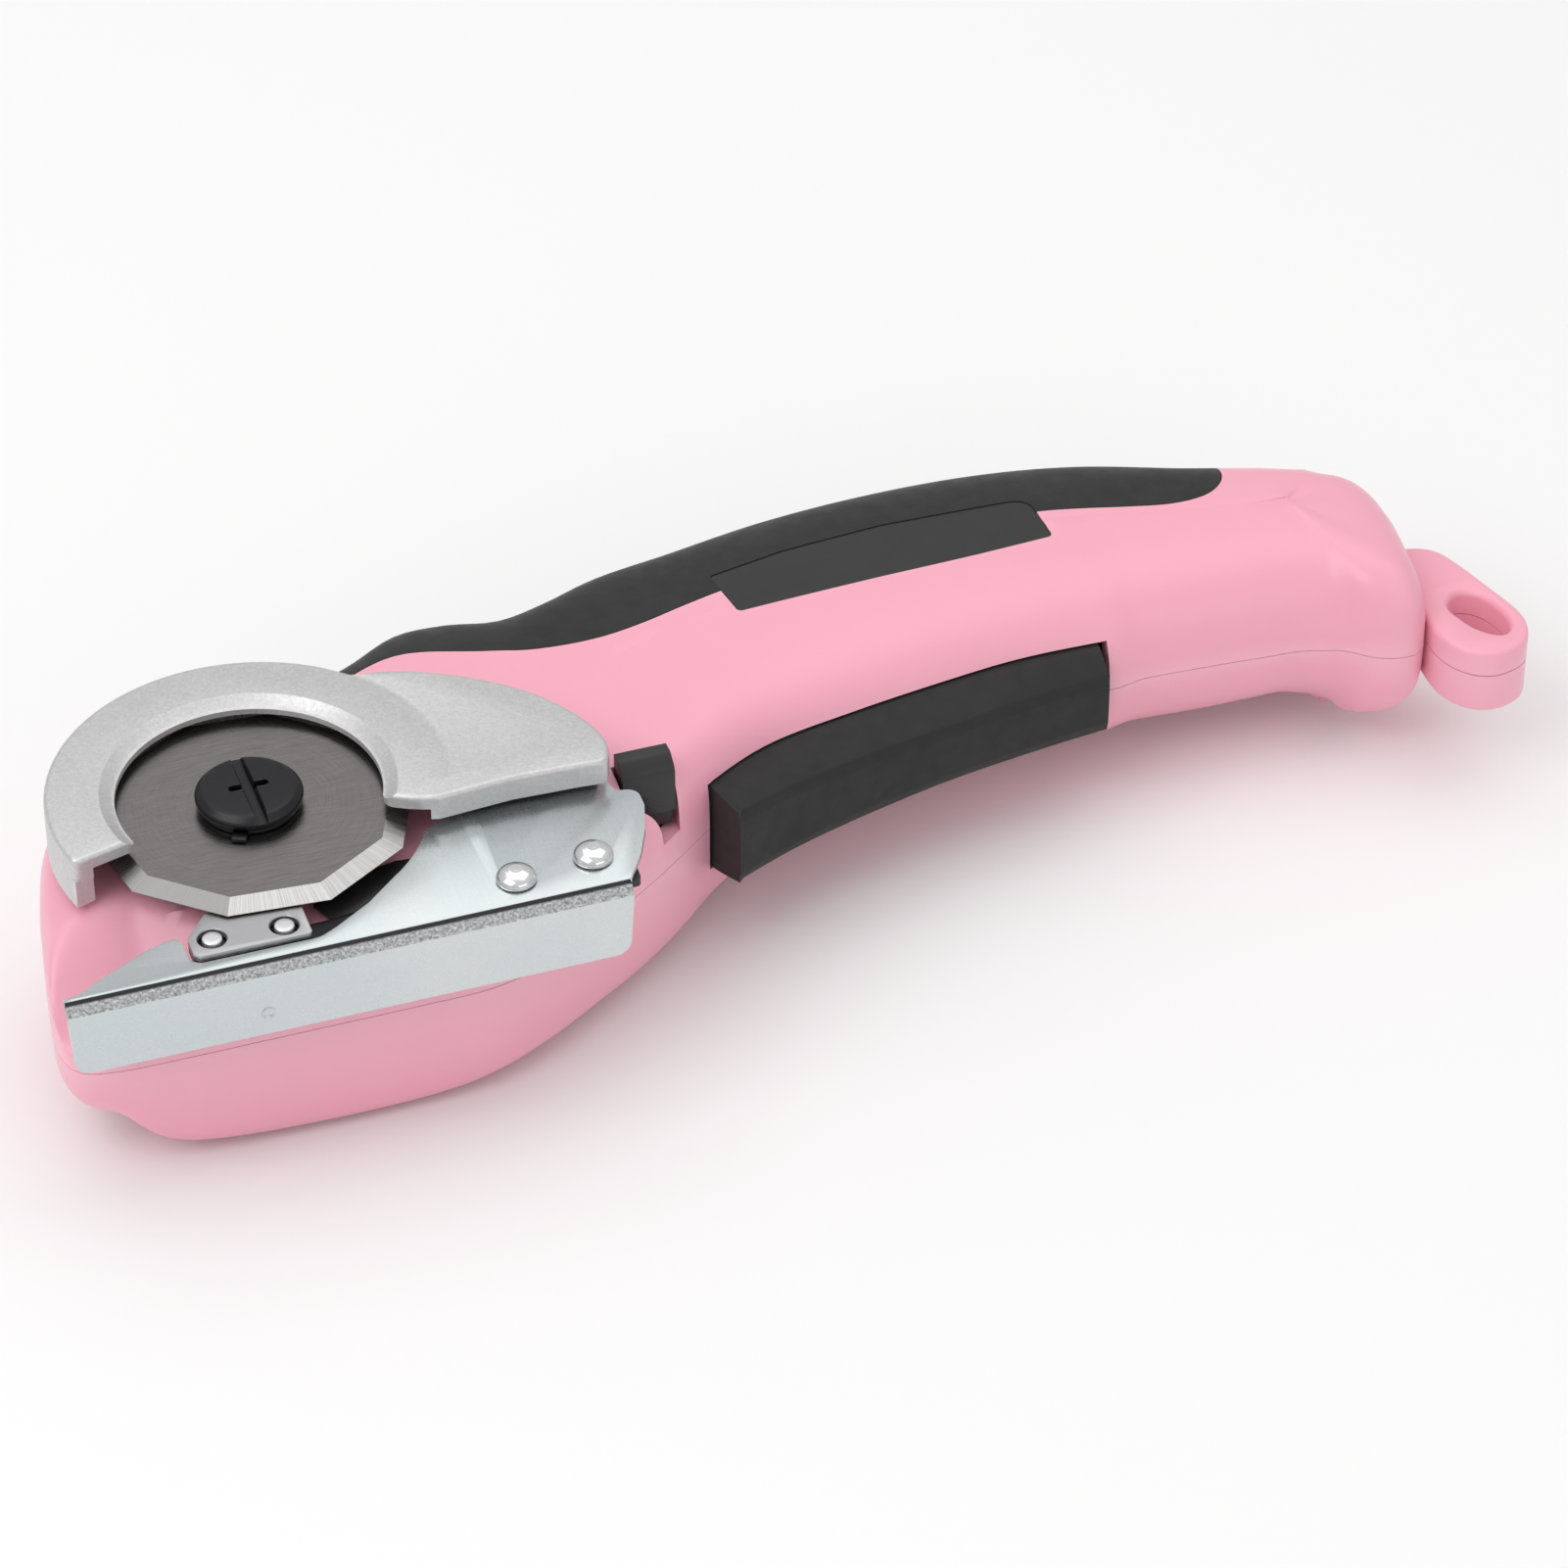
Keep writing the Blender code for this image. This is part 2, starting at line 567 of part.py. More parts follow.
# slot for the trigger
FACE_Y = [(66.0, -11.6), (69.5, -10.2), (81.0, -5.7), (94.0, -2.1), (111.0, 1.5), (127.0, 4.0), (136.0, 5.0)]
SIDE_Y = [(66.0, -4.4), (70.0, -3.0), (75.2, 1.0), (82.0, 3.4), (90.3, 5.2), (98.4, 6.6), (106.5, 7.6), (114.3, 8.1), (122.3, 8.6), (136.0, 9.4)]
ROOF_Y = [(60.0, 7.0), (80.0, 9.5), (98.0, 12.5), (112.0, 15.0), (122.0, 17.5), (136.0, 18.5)]


def front_x(y, r=TRIGGER_ARC):
    return TRIGGER_PIN[0] - math.sqrt(r * r - (y - TRIGGER_PIN[1]) ** 2)


slot = [(front_x(y, TRIGGER_ARC + 0.5), y) for y in (8.2, 4.0, 0.0, -4.0, -8.0, -14.0)] + [(80.0, -20.0), (136.2, -20.0), (136.2, 17.6), (122.0, 16.0), (98.0, 11.0), (80.0, 9.0)]
for case in (upper, lower):
    cut(case, layers("slot", slot, [(PART_Z - TRIGGER_HALF - 0.4, 0), (PART_Z + TRIGGER_HALF + 0.4, 0)]))

# slot for the lock button
LOCK_X = (53.5, 61.5)
cut(upper, block("slot", (LOCK_X[0] - 0.45, -10.9, -14.0), (LOCK_X[1] + 0.45, -3.1, 2.0)))

# mouth of the charging socket in the tail
PORT = (189.0, 23.0)
PORT_TURN = math.radians(-6)


def port_place(p):
    """u out of the tail, v across the socket"""
    return (PORT[0] + p[0] * math.cos(PORT_TURN) - p[1] * math.sin(PORT_TURN), PORT[1] + p[0] * math.sin(PORT_TURN) + p[1] * math.cos(PORT_TURN), p[2])


for case in (upper, lower):
    cut(case, block("mouth", (-12.0, -1.95, PART_Z - 4.9), (6.0, 1.95, PART_Z + 4.9), place=port_place, bevel=0.0))

# ribs that hold the trigger spring and the switch
SPRING_X = 75.0
join(upper, within(block("rib", (69.5, 14.0, PART_Z + SHELL_GAP), (80.5, 15.6, 0.0)), True))
join(lower, within(block("rib", (69.5, 14.0, -40.0), (80.5, 15.6, PART_Z - SHELL_GAP)), False))
for case, z0, z1 in ((upper, PART_Z + 3.9, 0.0), (lower, -40.0, PART_Z - 3.9)):
    join(case, within(block("rib", (84.0, 22.4, z0), (96.4, 23.8, z1)), case is upper))

# hanging loop, moulded with the back shell
LOOP = [(188.0, 17.5), (187.0, 9.0), (186.6, 0.5), (188.0, -4.2), (191.0, -7.2), (194.6, -7.8), (198.6, -6.2), (200.8, -2.2), (200.9, 2.0),
        (199.0, 9.0), (197.2, 15.2), (195.2, 19.6), (192.0, 21.6), (188.6, 21.4)]
loop_line = [tuple(p) for p in smooth_loop([(x, y) for x, y in LOOP], 26)]
loop_hole = [tuple(p) for p in smooth_loop([(191.2, 6.0), (193.6, 8.4), (196.6, 6.8), (198.3, 2.6), (198.2, -1.4), (196.0, -3.2), (193.3, -1.0), (191.8, 2.4)], 16)]
LOOP_LOW, LOOP_TOP = -26.0, PART_Z - SHELL_GAP
lug = layers("lug", loop_line, [(LOOP_LOW, 0.9), (LOOP_LOW + 0.9, 0), (LOOP_TOP, 0)])
cut(lug, slug("inside", False, WALL - 0.6))
join(lower, lug)
cut(lower, layers("eye", loop_hole, [(LOOP_LOW - 3, 0), (LOOP_TOP + 3, 0)]))
lug = layers("lug", loop_line, [(PART_Z + SHELL_GAP, 0), (PART_Z + 3.4, 0), (PART_Z + 4.3, 0.9)])
cut(lug, slug("inside", True, WALL - 0.6))
join(upper, lug)
cut(upper, layers("eye", loop_hole, [(LOOP_LOW - 3, 0), (LOOP_TOP + 9, 0)]))
for case in (upper, lower):
    case.data.materials.clear()
    case.data.materials.append(PINK)
    shade(case)

# ---- cast guard round the blade -------------------------------------------------------------------------------------
TAIL = [(20.9, 20.4), (27.0, 19.2), (33.0, 16.6), (39.0, 12.8), (44.0, 8.4), (47.8, 3.4), (50.3, -1.6), (51.4, -5.6), (51.3, -8.4), (50.2, -11.6)]
guard_outer = arc(0, 0, GUARD_R, 198.0, 52.0, 20) + [tuple(p[:2]) for p in smooth_path([(x, y, 0) for x, y in TAIL], 11)]
guard_lower = [(46.0, -11.2), (36.0, -10.8), (25.0, -11.6), (22.4, -11.0)]
guard_inner = arc(0, 0, GUARD_IN_R + 0.1, -25.6, 199.6, 26)
guard_loop = (guard_outer + guard_lower + guard_inner)[::-1]
guard = layers("blade_guard", guard_loop, [(0.5, 0), (GUARD_TOP - 0.7, 0), (GUARD_TOP, 0.7)], CAST)
skirt_outer = arc(0, 0, GUARD_R, 198.0, 52.0, 20) + [tuple(p[:2]) for p in smooth_path([(x, y, 0) for x, y in TAIL[:7]], 8)]
skirt_inner = [(46.8, -0.6), (44.6, 2.6), (40.6, 6.4), (35.0, 7.4), (27.8, 6.0)] + arc(0, 0, GUARD_POCKET_R, 14.0, 198.0, 20)
skirt = layers("skirt", (skirt_outer + skirt_inner)[::-1], [(GUARD_LOW, 0), (0.9, 0)])
join(guard, skirt)
cut(guard, turned("pocket", [(0, -6), (GUARD_POCKET_R, -6), (GUARD_POCKET_R, GUARD_UNDER), (0, GUARD_UNDER)], 36))
cut(guard, turned("bevel", [(0, 3.4), (GUARD_IN_R + 0.5, 3.4), (GUARD_IN_R + 2.6, GUARD_TOP + 0.2), (0, GUARD_TOP + 0.2)], 44))
join(guard, rod("boss", 2.0, (*GUARD_SCREWS[1], GUARD_LOW + 0.05), (*GUARD_SCREWS[1], 3.0), 14, None, None, 0.1))
for x, y in GUARD_SCREWS:
    cut(guard, rod("tapped", 1.3, (x, y, -6), (x, y, 1.6 if x > 0 else 1.0), 10))
shade(guard)
for k, (x, y) in enumerate(GUARD_SCREWS):
    top = 1.0 if x > 0 else 0.4
    turned("guard_screw_%d" % (k + 1), [(0, -9.0), (1.8, -9.0), (1.8, -7.2), (1.0, -7.2), (1.0, top), (0, top)], 10, STEEL, (x, y, 0))

# black spacer between the guard's tail and the foot plate
spacer = layers("guard_spacer", [(28.4, -9.6), (35.5, -9.6), (46.0, -10.0), (49.0, -10.4), (50.0, -7.6), (49.2, -4.0), (46.4, -3.0), (29.0, -3.0)], [(-0.7, 0), (0.2, 0)], DARK)

# ---- foot: zinc-plated plate with the sole folded down from it --------------------------------------------------------
wing = ([(SOLE_X[0] + 0.1, SOLE_Y + 0.5), (SOLE_X[1] - 0.1, SOLE_Y + 0.5), (47.4, -31.6), (50.3, -26.4), (52.6, -21.3), (54.1, -16.2), (54.2, -13.2), (53.2, -12.2), (51.2, -11.8), (50.6, -9.8),
         (48.6, -2.0), (44.0, -0.6), (32.0, -0.6), (29.4, -1.6), (28.4, -4.6), (27.6, -8.6)]
        + [(x, y) for x, y in arc(0, 0, 25.4, -27.0, -52.0, 8)]
        + [(10.6, -24.4), (4.9, -28.0), (2.2, -29.4), (-15.2, -29.4), (-16.3, -28.4), (-16.4, -24.0), (-17.4, -23.0), (-21.4, -24.3), (-27.9, -27.6), (-32.4, -30.4), (SOLE_X[0] + 0.1, -31.8)])
foot = layers("foot_plate", wing, [(FOOT_TOP - FOOT_T, 0), (FOOT_TOP, 0)], ZINC)


def sole_place(p):
    """an outline in X and Z, thickness along Y"""
    return (p[0], SOLE_Y + FOOT_T - p[2], p[1])


x0, x1 = SOLE_X
sole = layers("sole", [(x0, -1.15), (x0 + 0.4, -11.0), (x0 + 2.2, SOLE_LOW), (x1 - 2.6, SOLE_LOW), (x1 - 0.5, -11.6), (x1, -1.15)], [(0, 0), (FOOT_T, 0)], place=sole_place)
join(foot, sole)
cut(foot, turned("dimple", [(0, -0.3), (0.7, -0.3), (1.3, 0.4), (0, 0.4)], 12, None, (-6.8, SOLE_Y, -9.4), (0, -1, 0)))
FOOT_RIVETS = [(31.7, -26.5), (43.5, -25.3)]
ANVIL_RIVETS = [(-12.4, -25.6), (-2.1, -26.1)]
for x, y in FOOT_RIVETS:
    cut(foot, rod("hole", 1.9, (x, y, -4), (x, y, 2), 12))
shade(foot, 25)

# anvil: a hard strip that the blade's points pass over, on a sprung black arm under the foot plate
anvil_loop = [(-15.7, -24.6), (-13.0, -21.2), (-12.0, -20.0), (1.3, -20.0), (1.3, -28.6), (0.9, -28.9), (-14.9, -28.9), (-15.7, -28.0)][::-1]
anvil = layers("anvil_strip", anvil_loop, [(-1.3, 0), (-0.3, 0)], STEEL)
arm = layers("anvil_arm", [(x, y) for x, y in anvil_loop], [(-2.7, 0.05), (-1.6, 0.05)], OXIDE)
join(arm, layers("tail", [(-6.0, -28.8), (1.0, -30.6), (49.0, -30.6), (49.6, -22.6), (30.0, -22.0), (16.0, -24.8), (-6.0, -24.8)], [(-3.5, 0), (-2.3, 0)]))
for x, y in ANVIL_RIVETS:
    cut(anvil, rod("hole", 2.1, (x, y, -4), (x, y, 2), 16))
    cut(arm, rod("hole", 1.8, (x, y, -6), (x, y, 2), 12))
for x, y in FOOT_RIVETS:
    cut(arm, rod("hole", 1.9, (x, y, -6), (x, y, 2), 12))
for k, (x, y) in enumerate(ANVIL_RIVETS):
    turned("anvil_rivet_%d" % (k + 1), [(0, -3.4), (1.45, -3.4), (1.45, -0.35), (1.3, -0.2), (0, -0.2)], 16, STEEL, (x, y, 0))
for k, (x, y) in enumerate(FOOT_RIVETS):
    head = [(2.95 * math.cos(math.radians(a)), -0.7 + 1.9 * math.sin(math.radians(a))) for a in (0, 30, 55, 75)]
    shade(turned("foot_rivet_%d" % (k + 1), [(0, -3.5), (1.5, -3.5), (1.5, -0.7)] + head + [(0, 1.2)], 16, STEEL, (x, y, 0)), 50)

# blank marking strip on the housing beside the anvil
strip = layers("marking_strip", [(3.6, -19.6), (5.2, -23.4), (12.0, -22.8), (18.0, -18.6), (21.4, -14.4), (17.4, -14.0), (9.4, -15.6)], [(-3.65, 0), (-3.3, 0)], DARK)

# ---- blade and spindle, turning about the blade's axis --------------------------------------------------------------
AXIS = (0, 0, 0)
ring0 = [(BLADE_R * math.cos(math.radians(BLADE_TURN + 36 * i)), BLADE_R * math.sin(math.radians(BLADE_TURN + 36 * i))) for i in range(BLADE_SIDES)]
pts = [(x, y, 0.0) for x, y in ring0] + [(x, y, 0.12) for x, y in ring0] + [(x * BLADE_FLAT_R / BLADE_R, y * BLADE_FLAT_R / BLADE_R, BLADE_T) for x, y in ring0]
faces = [tuple(reversed(range(10))), tuple(range(20, 30))]
for i in range(10):
    j = (i + 1) % 10
    faces += [(i, j, 10 + j, 10 + i), (10 + i, 10 + j, 20 + j, 20 + i)]
blade = solid("cutting_blade", pts, faces, BLADE, AXIS)
cut(blade, rod("bore", BLADE_BORE_R, (0, 0, -3), (0, 0, 3), 20))

turned("output_spindle", [(0, SPINDLE_LOW), (SPINDLE_R, SPINDLE_LOW), (SPINDLE_R, -2.9), (FLANGE_R, -2.4), (FLANGE_R, -0.3), (SPINDLE_R, -0.3), (SPINDLE_R, 0.7),
                          (2.4, 0.7), (2.4, -12.5), (0, -13.4)], 20, STEEL, AXIS, (0, 0, 1), AXIS)

screw = turned("blade_screw", [(0, -11.5), (2.1, -11.5), (2.1, 2.0), (6.9, 2.0), (SCREW_R, 2.6), (SCREW_R, 3.2), (7.2, 4.1), (6.7, 4.4), (0, 4.4)], 24, OXIDE, AXIS, (0, 0, 1), AXIS)
turn = Matrix.Rotation(math.radians(-52), 4, "Z")


def slot_place(p):
    v = turn @ Vector(p)
    return (v.x, v.y, v.z)


cut(screw, block("slot", (-9.0, -0.7, 3.3), (9.0, 0.7, 5.0), place=slot_place))
cut(screw, block("cross", (-0.5, -2.7, 3.5), (0.5, 2.7, 5.0), place=slot_place))
shade(screw)
KEY_TURN = -115.0
washer_loop = arc(0, 0, 7.1, KEY_TURN + 9, KEY_TURN + 351, 26) + [(9.1 * math.cos(math.radians(KEY_TURN - 7)), 9.1 * math.sin(math.radians(KEY_TURN - 7))), (9.1 * math.cos(math.radians(KEY_TURN + 7)), 9.1 * math.sin(math.radians(KEY_TURN + 7)))]
washer = layers("keyed_washer", washer_loop, [(1.25, 0), (1.75, 0)], OXIDE, AXIS)
cut(washer, rod("bore", 2.6, (0, 0, 0), (0, 0, 3), 16))


def spin_mesh(name, rings, mat, pivot):
    """closed side walls from rings of equal length, capped at both ends"""
    pts, faces, n = [], [], len(rings[0])
    for r in rings:
        pts.extend(r)
    end = stack(rings, faces, 0)
    faces.append(tuple(range(n)))
    faces.append(tuple(end - n + i for i in range(n)))
    return solid(name, pts, faces, mat, pivot)


# worm wheel, its teeth slanted to the worm's thread
rings = []
for h in (-WHEEL_FACE / 2, WHEEL_FACE / 2):
    ring = []
    twist = h * (MODULE / (2 * WORM_R)) / WHEEL_R
    for k in range(WHEEL_TEETH):
        mid = math.radians(90 + DRIVE_TURN) + 2 * math.pi * (k + 0.5) / WHEEL_TEETH + twist
        for r, half in ((WHEEL_R - 1.2, 0.92), (WHEEL_R, 0.56), (WHEEL_R + 0.85, 0.26)):
            ring.append((r, mid - half / r))
        for r, half in ((WHEEL_R + 0.85, 0.26), (WHEEL_R, 0.56), (WHEEL_R - 1.2, 0.92)):
            ring.append((r, mid + half / r))
    rings.append([(r * math.cos(a), r * math.sin(a), DRIVE_Z + h) for r, a in ring])
wheel = spin_mesh("worm_wheel", rings, NYLON, AXIS)
cut(wheel, rod("bore", SPINDLE_R + 0.3, (0, 0, -30), (0, 0, -10), 24))

# ---- worm and motor ----------------------------------------------------------------------------------------------------
PITCH = math.pi * MODULE
WORM_HALF = 9.4
worm_at = drive(0, DRIVE_OFF)
put = frame_at(worm_at, ALONG)
N = 12
lines = []
for j in range(-4, 5):
    fade = 1.0 if abs(j) <= 2 else (0.55 if abs(j) == 3 else 0.0)
    for u, r in ((-1.02, 0.0), (-0.28, 1.0), (0.28, 1.0), (1.02, 0.0)):
        lines.append((j * PITCH + u, WORM_R - 1.15 + r * fade * 1.9))
pts = []
contact = math.atan2((Vector(drive(0, -1, 0)) - Vector(drive(0, 0, 0))).dot(put((0, 1, 0)) - Vector(worm_at)),
                     (Vector(drive(0, -1, 0)) - Vector(drive(0, 0, 0))).dot(put((1, 0, 0)) - Vector(worm_at)))
for i in range(N):
    a = 2 * math.pi * i / N
    for u, r in lines:
        ang = contact - math.pi + a
        pts.append(put((r * math.cos(ang), r * math.sin(ang), u + PITCH * (i / N - 0.5))))
M = len(lines)
faces = []
for i in range(N):
    for k in range(M - 1):
        if i < N - 1:
            faces.append((i * M + k, (i + 1) * M + k, (i + 1) * M + k + 1, i * M + k + 1))
        elif k + 5 < M:
            faces.append((i * M + k, k + 4, k + 5, i * M + k + 1))
first = [i * M for i in range(N)] + [4, 3, 2, 1]
last = [i * M + M - 1 for i in range(N)]
tail_end = [(N - 1) * M + k for k in range(M - 5, M)]
loop_end = [i * M + M - 1 for i in range(N - 1)] + [(N - 1) * M + k for k in range(M - 1, M - 6, -1)]
low, high = len(pts), len(pts) + 1
low_h = min(u for u, r in lines) - PITCH * 0.5 - 1.6
high_h = max(u for u, r in lines) + PITCH * 0.5 + 1.6
pts += [put((0, 0, low_h)), put((0, 0, high_h))]
for a, b in zip(first, first[1:] + first[:1]):
    faces.append((low, a, b))
for a, b in zip(loop_end, loop_end[1:] + loop_end[:1]):
    faces.append((high, a, b))
worm = solid("worm", pts, faces, BRASS, worm_at)
cut(worm, rod("bore", SHAFT_R + 0.3, put((0, 0, -30)), put((0, 0, 30)), 12))
for s in (-1, 1):
    cut(worm, rod("face", 9, put((0, 0, s * (WORM_HALF + 4.6))), put((0, 0, s * 40)), 12))

# motor: front face a little behind the worm, its shaft carrying the worm
m0 = drive(MOTOR_AT, DRIVE_OFF)
mput = frame_at(m0, ALONG)
shade(turned("motor_can", [(3.3, 0), (MOTOR_R - 0.8, 0), (MOTOR_R, 0.8), (MOTOR_R, MOTOR_LEN - 3.2), (MOTOR_R - 0.8, MOTOR_LEN - 3.2), (MOTOR_R - 0.8, 1.0), (3.3, 1.0)],
             20, STEEL, m0, ALONG))
turned("motor_front_bush", [(SHAFT_R + 0.2, -1.2), (2.7, -1.2), (2.7, 2.2), (SHAFT_R + 0.2, 2.2)], 16, BRONZE, m0, ALONG)
shade(turned("motor_end_cap", [(SHAFT_R + 0.25, MOTOR_LEN + 0.4), (3.0, MOTOR_LEN + 0.4), (3.0, MOTOR_LEN - 0.9), (MOTOR_R, MOTOR_LEN - 0.9), (MOTOR_R, MOTOR_LEN - 2.9),
                               (MOTOR_R - 1.2, MOTOR_LEN - 2.9), (MOTOR_R - 1.2, MOTOR_LEN - 4.4), (MOTOR_R - 2.4, MOTOR_LEN - 4.4), (MOTOR_R - 2.4, MOTOR_LEN - 2.9), (SHAFT_R + 0.25, MOTOR_LEN - 2.9)],
             16, DARK, m0, ALONG))
rod("motor_shaft", SHAFT_R, mput((0, 0, -MOTOR_AT - 14.4)), mput((0, 0, MOTOR_LEN + 1.0)), 12, STEEL, m0)
lobes = []
for k in range(3):
    c = 120 * k
    lobes += [(2.6 * math.cos(math.radians(c - 52)), 2.6 * math.sin(math.radians(c - 52)))]
    lobes += [(r * math.cos(math.radians(c + a)), r * math.sin(math.radians(c + a))) for r, a in ((3.4, -36), (7.0, -17), (7.6, -52), (8.4, -50), (8.4, -25), (8.4, 0), (8.4, 25), (8.4, 50), (7.6, 52), (7.0, 17), (3.4, 36))]
core = layers("motor_armature", lobes, [(5.2, 0), (21.0, 0)], COPPER, m0, mput)
cut(core, rod("bore", SHAFT_R + 0.3, mput((0, 0, 0)), mput((0, 0, 30)), 12))
for k, name in ((0, "motor_magnet_1"), (1, "motor_magnet_2")):
    loop = arc(0, 0, 10.9, 180 * k - 66, 180 * k + 66, 10) + arc(0, 0, 9.0, 180 * k + 66, 180 * k - 66, 10)
    layers(name, loop, [(4.0, 0), (22.5, 0)], MAGNET, None, mput)

# gear frame: one moulded box that holds the spindle's and the worm shaft's bearings and the motor
FRAME_TOP, FRAME_LOW = -7.6, -34.6
plate = [(-9.0, -7.0), (MOTOR_AT - 0.4, -7.0), (MOTOR_AT - 0.4, 20.0), (-9.0, 20.0), (-17.6, 12.4), (-17.6, 2.0)]
gear_frame = layers("gear_frame", plate, [(-10.4, 0), (FRAME_TOP, 0)], GREY, None, drive_place)
join(gear_frame, layers("bottom", [(-9.0, -7.0), (MOTOR_AT - 0.4, -7.0), (MOTOR_AT - 0.4, 18.0), (-6.0, 18.0), (-14.0, 9.0), (-14.0, -2.0)], [(FRAME_LOW, 0), (FRAME_LOW + 2.8, 0)], place=drive_place))
join(gear_frame, block("front", (-17.5, 9.0, -27.5), (-14.8, 18.6, -9.0), place=drive_place))
join(gear_frame, block("motor_wall", (MOTOR_AT - 3.0, 6.0, FRAME_LOW + 2.1), (MOTOR_AT - 0.5, 25.4, FRAME_TOP - 1), place=drive_place))
cut(gear_frame, rod("spindle_hole", 6.3, (0, 0, -50), (0, 0, 0), 24))
cut(gear_frame, rod("shaft_hole", 3.2, drive(-30, DRIVE_OFF), drive(60, DRIVE_OFF), 16))
turned("spindle_bush_top", [(SPINDLE_R + 0.25, -10.4), (6.0, -10.4), (6.0, -7.3), (SPINDLE_R + 0.25, -7.3)], 16, BRONZE)
turned("spindle_bush_low", [(SPINDLE_R + 0.25, FRAME_LOW - 0.3), (6.0, FRAME_LOW - 0.3), (6.0, FRAME_LOW + 3.0), (SPINDLE_R + 0.25, FRAME_LOW + 3.0)], 16, BRONZE)
turned("worm_shaft_bush", [(SHAFT_R + 0.2, -17.4), (2.9, -17.4), (2.9, -15.0), (SHAFT_R + 0.2, -15.0)], 16, BRONZE, drive(0, DRIVE_OFF), ALONG)
turned("circlip", [(SPINDLE_R + 0.25, -13.2), (5.6, -13.2), (5.6, -12.2), (SPINDLE_R + 0.25, -12.2)], 20, STEEL, AXIS, (0, 0, 1), AXIS)

# ---- trigger: a hollow paddle on a pin at its rear ---------------------------------------------------------------------
XS = [66.4 + 68.4 * k / 11 for k in range(12)]


def paddle(name, grow, mat=None, pivot=None):
    """the paddle's body; grow moves its walls outwards"""
    pts, faces, n = [], [], 12
    w = TRIGGER_HALF + grow
    for x in XS:
        xx = x
        if x == XS[0]:
            xx = x - grow
        if x == XS[-1]:
            xx = x + grow
        f, s, r = between(FACE_Y, x) - grow, between(SIDE_Y, x), between(ROOF_Y, x) + (3.0 if grow < 0 else 0.0)
        c = 6.6 - 1.4 * min(1.0, max(0.0, (x - 66) / 40)) + grow * 0.7
        half = [(r, w), (s, w), (f + 1.0, c + 0.35), (f + 0.25, c - 0.5), (f, c - 1.6), (f - 0.02, 0.6)]
        for y, z in half:
            pts.append((xx, y, PART_Z + z))
        for y, z in reversed(half):
            pts.append((xx, y, PART_Z - z))
    for j in range(len(XS) - 1):
        for i in range(n):
            k = (i + 1) % n
            faces.append((j * n + i, j * n + k, (j + 1) * n + k, (j + 1) * n + i))
    faces.append(tuple(range(n)))
    faces.append(tuple((len(XS) - 1) * n + i for i in range(n)))
    return solid(name, pts, faces, mat, pivot)


PIN = (TRIGGER_PIN[0], TRIGGER_PIN[1], PART_Z)
trigger = paddle("trigger", 0.0, SOFT, PIN)
cut(trigger, paddle("inside", -1.8))
nose = [(front_x(y), y) for y in (30.0, 14.0, 10.0, 6.0, 2.0, -2.0, -6.0, -10.0, -14.0, -30.0)]
cut(trigger, layers("front_arc", nose + [(20.0, -30.0), (20.0, 30.0)], [(-60, 0), (20, 0)]))
join(trigger, layers("front_wall", [(front_x(y) + 0.02, y) for y in (6.0, 2.0, -2.0, -6.0, -9.4)] + [(front_x(y) + 2.0, y) for y in (-8.0, -4.0, 0.0, 6.0)],
                     [(PART_Z - 6.6, 0), (PART_Z + 6.6, 0)]))
join(trigger, block("pin_block", (127.2, 9.0, PART_Z - 6.8), (134.2, 19.4, PART_Z + 6.8)))
join(trigger, block("post", (88.2, -1.7, PART_Z - 2.0), (92.4, 10.2, PART_Z + 2.0)))
cut(trigger, rod("pin_bore", 1.9, (PIN[0], PIN[1], -60), (PIN[0], PIN[1], 20), 16))
cut(trigger, layers("roof_cut", [(126.0, 30.0), (124.0, 17.4), (127.6, 19.3), (136.5, 19.2), (136.5, 30.0)], [(-60, 0), (20, 0)]))
trigger.data.materials.clear()
trigger.data.materials.append(SOFT)
shade(trigger)
rod("trigger_pin", 1.55, (PIN[0], PIN[1], PART_Z - 11.4), (PIN[0], PIN[1], PART_Z + 11.4), 16, STEEL)
for case, z0, z1 in ((upper, PART_Z + 8.35, 0.0), (lower, -40.0, PART_Z - 8.35)):
    join(case, within(rod("pin_boss", 3.4, (PIN[0], PIN[1], z0), (PIN[0], PIN[1], z1), 14, None, None, 0.35), case is upper))
    cut(case, rod("pin_hole", 1.9, (PIN[0], PIN[1], PART_Z - 11.8), (PIN[0], PIN[1], PART_Z + 11.8), 12, None, None, 0.1))
coil("trigger_spring", (SPRING_X, -5.3, PART_Z), (SPRING_X, 13.7, PART_Z), 2.6, 0.35, 7, STEEL)

# switch behind the trigger, with a plunger that rides on the trigger's post
switch = block("micro_switch", (81.5, 15.0, PART_Z - 3.3), (99.0, 22.1, PART_Z + 3.3), DARK)
cut(switch, block("bore", (88.6, 10.0, PART_Z - 1.7), (92.0, 19.5, PART_Z + 1.7)))
block("switch_plunger", (88.95, 10.55, PART_Z - 1.35), (91.65, 16.5, PART_Z + 1.35), RED, (90.3, 10.5, PART_Z))

# ---- lock button in its slot -------------------------------------------------------------------------------------------
def lock_place(p):
    """an outline in Y and Z, width along X"""
    return (p[2], p[0], p[1])


